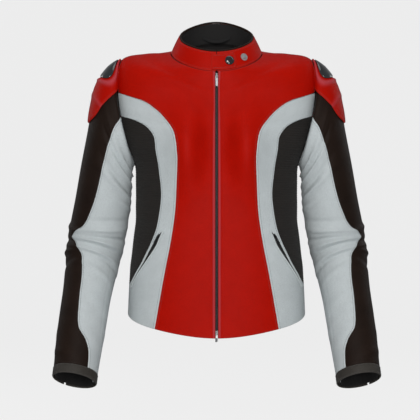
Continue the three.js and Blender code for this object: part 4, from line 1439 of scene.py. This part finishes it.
class JACKET_OT_shoulders(bpy.types.Operator):
    """Make the padded shoulder caps and the glossy guards let into them."""

    bl_idname = "jacket.shoulders"
    bl_label = "Shoulder caps and guards"

    def execute(self, context):
        guard_middle = 0.88

        def guard_half(w):
            return 37 * np.sqrt(np.maximum(0.12, 1 - ((w - guard_middle) / 0.74) ** 2))

        def seat_ring(panel, u, v):
            """The cap rises in a rim round the guard and drops under it."""
            turn = (u + 180) % 360 - 180
            away = np.sqrt(((v - guard_middle) / 0.8) ** 2 + (turn / 41) ** 2)
            rim = 2.2 * np.exp(-(((away - 1.12) / 0.1) ** 2))
            under = -1.2 * np.clip((1.0 - away) / 0.1, 0, 1)
            rib = 1.1 * np.exp(-(((v - 2.35 - 0.15 * np.cos(np.radians(turn * 2))) / 0.12) ** 2))
            return rim + under + rib

        for side, mirror in SIDES:
            cap = Panel(sleeve_point, 0.02, 3.62, lambda w: -0.9 * along(CAP_FRONT, w), seam(CAP_FRONT),
                        off=3.4, thick=2.6, fine=2.2, turned=2.0, crown=1.6)
            padded_piece(cap, f"shoulder_cap_pad_{side}", "red_leather", f"shoulder_cap_{side}",
                         mirror=mirror, relief=seat_ring)
            sew(cap, f"shoulder_cap_stitching_{side}", "thread_red", ["left", "right"], mirror=mirror,
                insets=(3.2,))
            guard = Panel(sleeve_point, 0.17, 1.56, lambda w: -guard_half(w), guard_half, off=6.2, thick=1.8,
                          fine=1.4, turned=1.6, crown=2.6)
            obj = guard.build(f"shoulder_guard_shield_{side}", mirror)
            dress(obj, "gloss_plastic")
            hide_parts(f"shoulder_guard_{side}")
            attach(obj, "torso")
        return {"FINISHED"}


class JACKET_OT_cuffs(bpy.types.Operator):
    """Make the grey cuff bands, their zips, sliders and studs."""

    bl_idname = "jacket.cuffs"
    bl_label = "Cuffs"

    def execute(self, context):
        slit = 3

        for side, mirror in SIDES:
            body = f"forearm_{side}"
            band = Panel(sleeve_point, 13.31, CUFF - 0.003, fixed(CUFF_ZIP_ANGLE + slit),
                         fixed(360 + CUFF_ZIP_ANGLE - slit), off=0.6, thick=2.6, fine=2, crown=0.6)
            cut_piece(band, f"cuff_leather_{side}", "grey_leather", [f"cuff_band_{side}"], body=body,
                      mirror=mirror)
            sew(band, f"cuff_stitching_{side}", "thread_black", ["start", "end"], body=body, mirror=mirror,
                insets=(2.4,))
            strip = Panel(sleeve_point, 10.9, 13.27, fixed(CUFF_ZIP_ANGLE - 2.6), fixed(CUFF_ZIP_ANGLE + 2.6),
                          off=1.6, thick=1.0, fine=0.6, turned=0.4)
            cut_piece(strip, f"cuff_zip_strip_{side}", "black_metal", [f"cuff_zip_{side}"], body=body,
                      mirror=mirror, relief=coil(2, 1.4, 0.4, 0.2))
            seat = seat_on(sleeve_point, fixed(CUFF_ZIP_ANGLE), 13.05, 2.6, mirror)
            tab = block(-2.2, 2.2, 3.2, 4.2, -13, -1, bevel=0)
            pressed(tab, lambda f: f.normal.y > 0.9, 0.8, -0.3)
            bevelled(tab, 0.35)
            hard_piece(f"cuff_slider_metal_{side}", small_slider() + [tab], "bright_metal", seat,
                       [f"cuff_slider_{side}"], f"cuff_slider_{side}")
            place = seat_stud(sleeve_point, 178.0, 13.78, 6.3, mirror, inside=True)
            dome = [(0, 0), (3.8, 0), (4, 0.3), (3.9, 0.8), (2.9, 1.3), (1.5, 1.9), (0, 2)]
            hard_piece(f"cuff_stud_metal_{side}", [turned_stud(dome)], "bright_metal", place,
                       [f"cuff_stud_{side}"], body)
        return {"FINISHED"}


class JACKET_OT_hidden(bpy.types.Operator):
    """Make the elbow protectors and the zip that joins the jacket to trousers."""

    bl_idname = "jacket.hidden"
    bl_label = "Protectors and waist zip"

    def execute(self, context):
        def channels(panel, u, v):
            across = np.abs(np.sin(np.radians((u - 270) * 6)))
            return -0.9 * (1 - across**0.5)

        for side, mirror in SIDES:
            pad = Panel(sleeve_point, 8.6, 10.5, fixed(215), fixed(325), off=-4, thick=3.4, fine=2.2,
                        turned=1.6)
            padded_piece(pad, f"elbow_protector_pad_{side}", "foam", f"elbow_protector_{side}",
                         f"forearm_{side}", mirror, channels)
        strip = Panel(body_point, 0.42, 0.78, fixed(130), fixed(230), off=-11, thick=1.5, fine=0.8,
                      turned=0.4)
        cut_piece(strip, "waist_zip_strip", "black_metal", ["waist_zip"], relief=coil(0, 1.4, 0.5, 0.3))
        return {"FINISHED"}


class JACKET_OT_stage(bpy.types.Operator):
    """Set a pale floor that sweeps up behind the jacket, soft lights and the camera."""

    bl_idname = "jacket.stage"
    bl_label = "Stage"

    def execute(self, context):
        floor_z, back_y, bend, front_y, half_width, top = -0.84, 4.8, 1.2, -18.0, 18.0, 16.0
        nothing_selected()
        profile = [(front_y, floor_z), (back_y - bend, floor_z)]
        profile += [(back_y - bend + bend * math.sin(a), floor_z + bend * (1 - math.cos(a)))
                    for a in np.radians(np.linspace(7.5, 90, 12))]
        profile += [(back_y, top)]
        points = [(x, y, z) for y, z in profile for x in (-half_width, half_width)]
        faces = [(2 * i, 2 * i + 1, 2 * i + 3, 2 * i + 2) for i in range(len(profile) - 1)]
        floor = mesh_object("floor_sweep", np.array(points), faces)
        material, _, _, shader = tree_of("paper")
        shader.inputs["Base Color"].default_value = (0.12, 0.12, 0.12, 1)
        shader.inputs["Roughness"].default_value = 0.9
        shader.inputs["Specular IOR Level"].default_value = 0.0
        shader.inputs["Emission Color"].default_value = (1, 1, 1, 1)
        shader.inputs["Emission Strength"].default_value = 0.8
        floor.data.materials.append(material)
        floor.visible_diffuse = False
        floor.visible_glossy = False

        context.scene.view_settings.view_transform = "Standard"
        world = bpy.data.worlds.new("studio")
        world.use_nodes = True
        world.node_tree.nodes["Background"].inputs["Color"].default_value = (0.96, 0.98, 1.0, 1)
        world.node_tree.nodes["Background"].inputs["Strength"].default_value = 0.27
        context.scene.world = world
        self.light("key", (-0.25, -3.0, 0.7), (0, 0, -0.35), 1.1, 40, (1.0, 0.985, 0.97))
        self.light("fill", (0.45, -3.0, -0.4), (0, 0, -0.4), 1.2, 20, (0.97, 0.985, 1.0))
        self.light("top", (0, 0.2, 2.0), (0, 0, -0.2), 1.4, 7, (1, 1, 1))
        self.light("rim_left", (-1.9, 1.4, 0.6), (0, 0, -0.3), 1.0, 4, (1, 1, 1))
        self.light("rim_right", (1.9, 1.4, 0.6), (0, 0, -0.3), 1.0, 4, (1, 1, 1))

        camera = bpy.data.objects.new("camera", bpy.data.cameras.new("camera"))
        context.scene.collection.objects.link(camera)
        distance, aside, level, width = 3.2, -0.013, -0.312, 0.84
        camera.location = (aside, -distance, level)
        camera.rotation_euler = (math.radians(90), 0, 0)
        camera.data.angle = 2 * math.atan(width / 2 / distance)
        context.scene.camera = camera
        return {"FINISHED"}

    def light(self, name, at, towards, size, power, colour):
        data = bpy.data.lights.new(name, "AREA")
        data.shape, data.size, data.energy, data.color = "DISK", size, power, colour
        lamp = bpy.data.objects.new(name, data)
        lamp.location = at
        lamp.rotation_euler = (Vector(towards) - Vector(at)).to_track_quat("-Z", "Y").to_euler()
        bpy.context.scene.collection.objects.link(lamp)


STEPS = (
    JACKET_OT_stage, JACKET_OT_front, JACKET_OT_back, JACKET_OT_lining, JACKET_OT_collar, JACKET_OT_front_zip,
    JACKET_OT_pockets, JACKET_OT_sleeves, JACKET_OT_shoulders, JACKET_OT_cuffs, JACKET_OT_hidden,
)


class JACKET_PT_panel(bpy.types.Panel):
    """Sizes and colours of the jacket, and the steps that make it."""

    bl_idname = "JACKET_PT_panel"
    bl_label = "Riding jacket"
    bl_space_type = "VIEW_3D"
    bl_region_type = "UI"
    bl_category = "Jacket"

    def draw(self, context):
        for group in (context.scene.jacket_sizes, context.scene.jacket_colours):
            for name in group.bl_rna.properties.keys():
                if name not in ("rna_type", "name"):
                    self.layout.prop(group, name)
        for step in STEPS:
            self.layout.operator(step.bl_idname)


CLASSES = (JacketSizes, JacketColours, *STEPS, JACKET_PT_panel)


def register():
    for made in CLASSES:
        bpy.utils.register_class(made)
    bpy.types.Scene.jacket_sizes = bpy.props.PointerProperty(type=JacketSizes)
    bpy.types.Scene.jacket_colours = bpy.props.PointerProperty(type=JacketColours)


def unregister():
    del bpy.types.Scene.jacket_colours
    del bpy.types.Scene.jacket_sizes
    for made in reversed(CLASSES):
        bpy.utils.unregister_class(made)


def main():
    register()
    for step in STEPS:
        group, name = step.bl_idname.split(".")
        getattr(getattr(bpy.ops, group), name)()


if __name__ == "__main__":
    main()
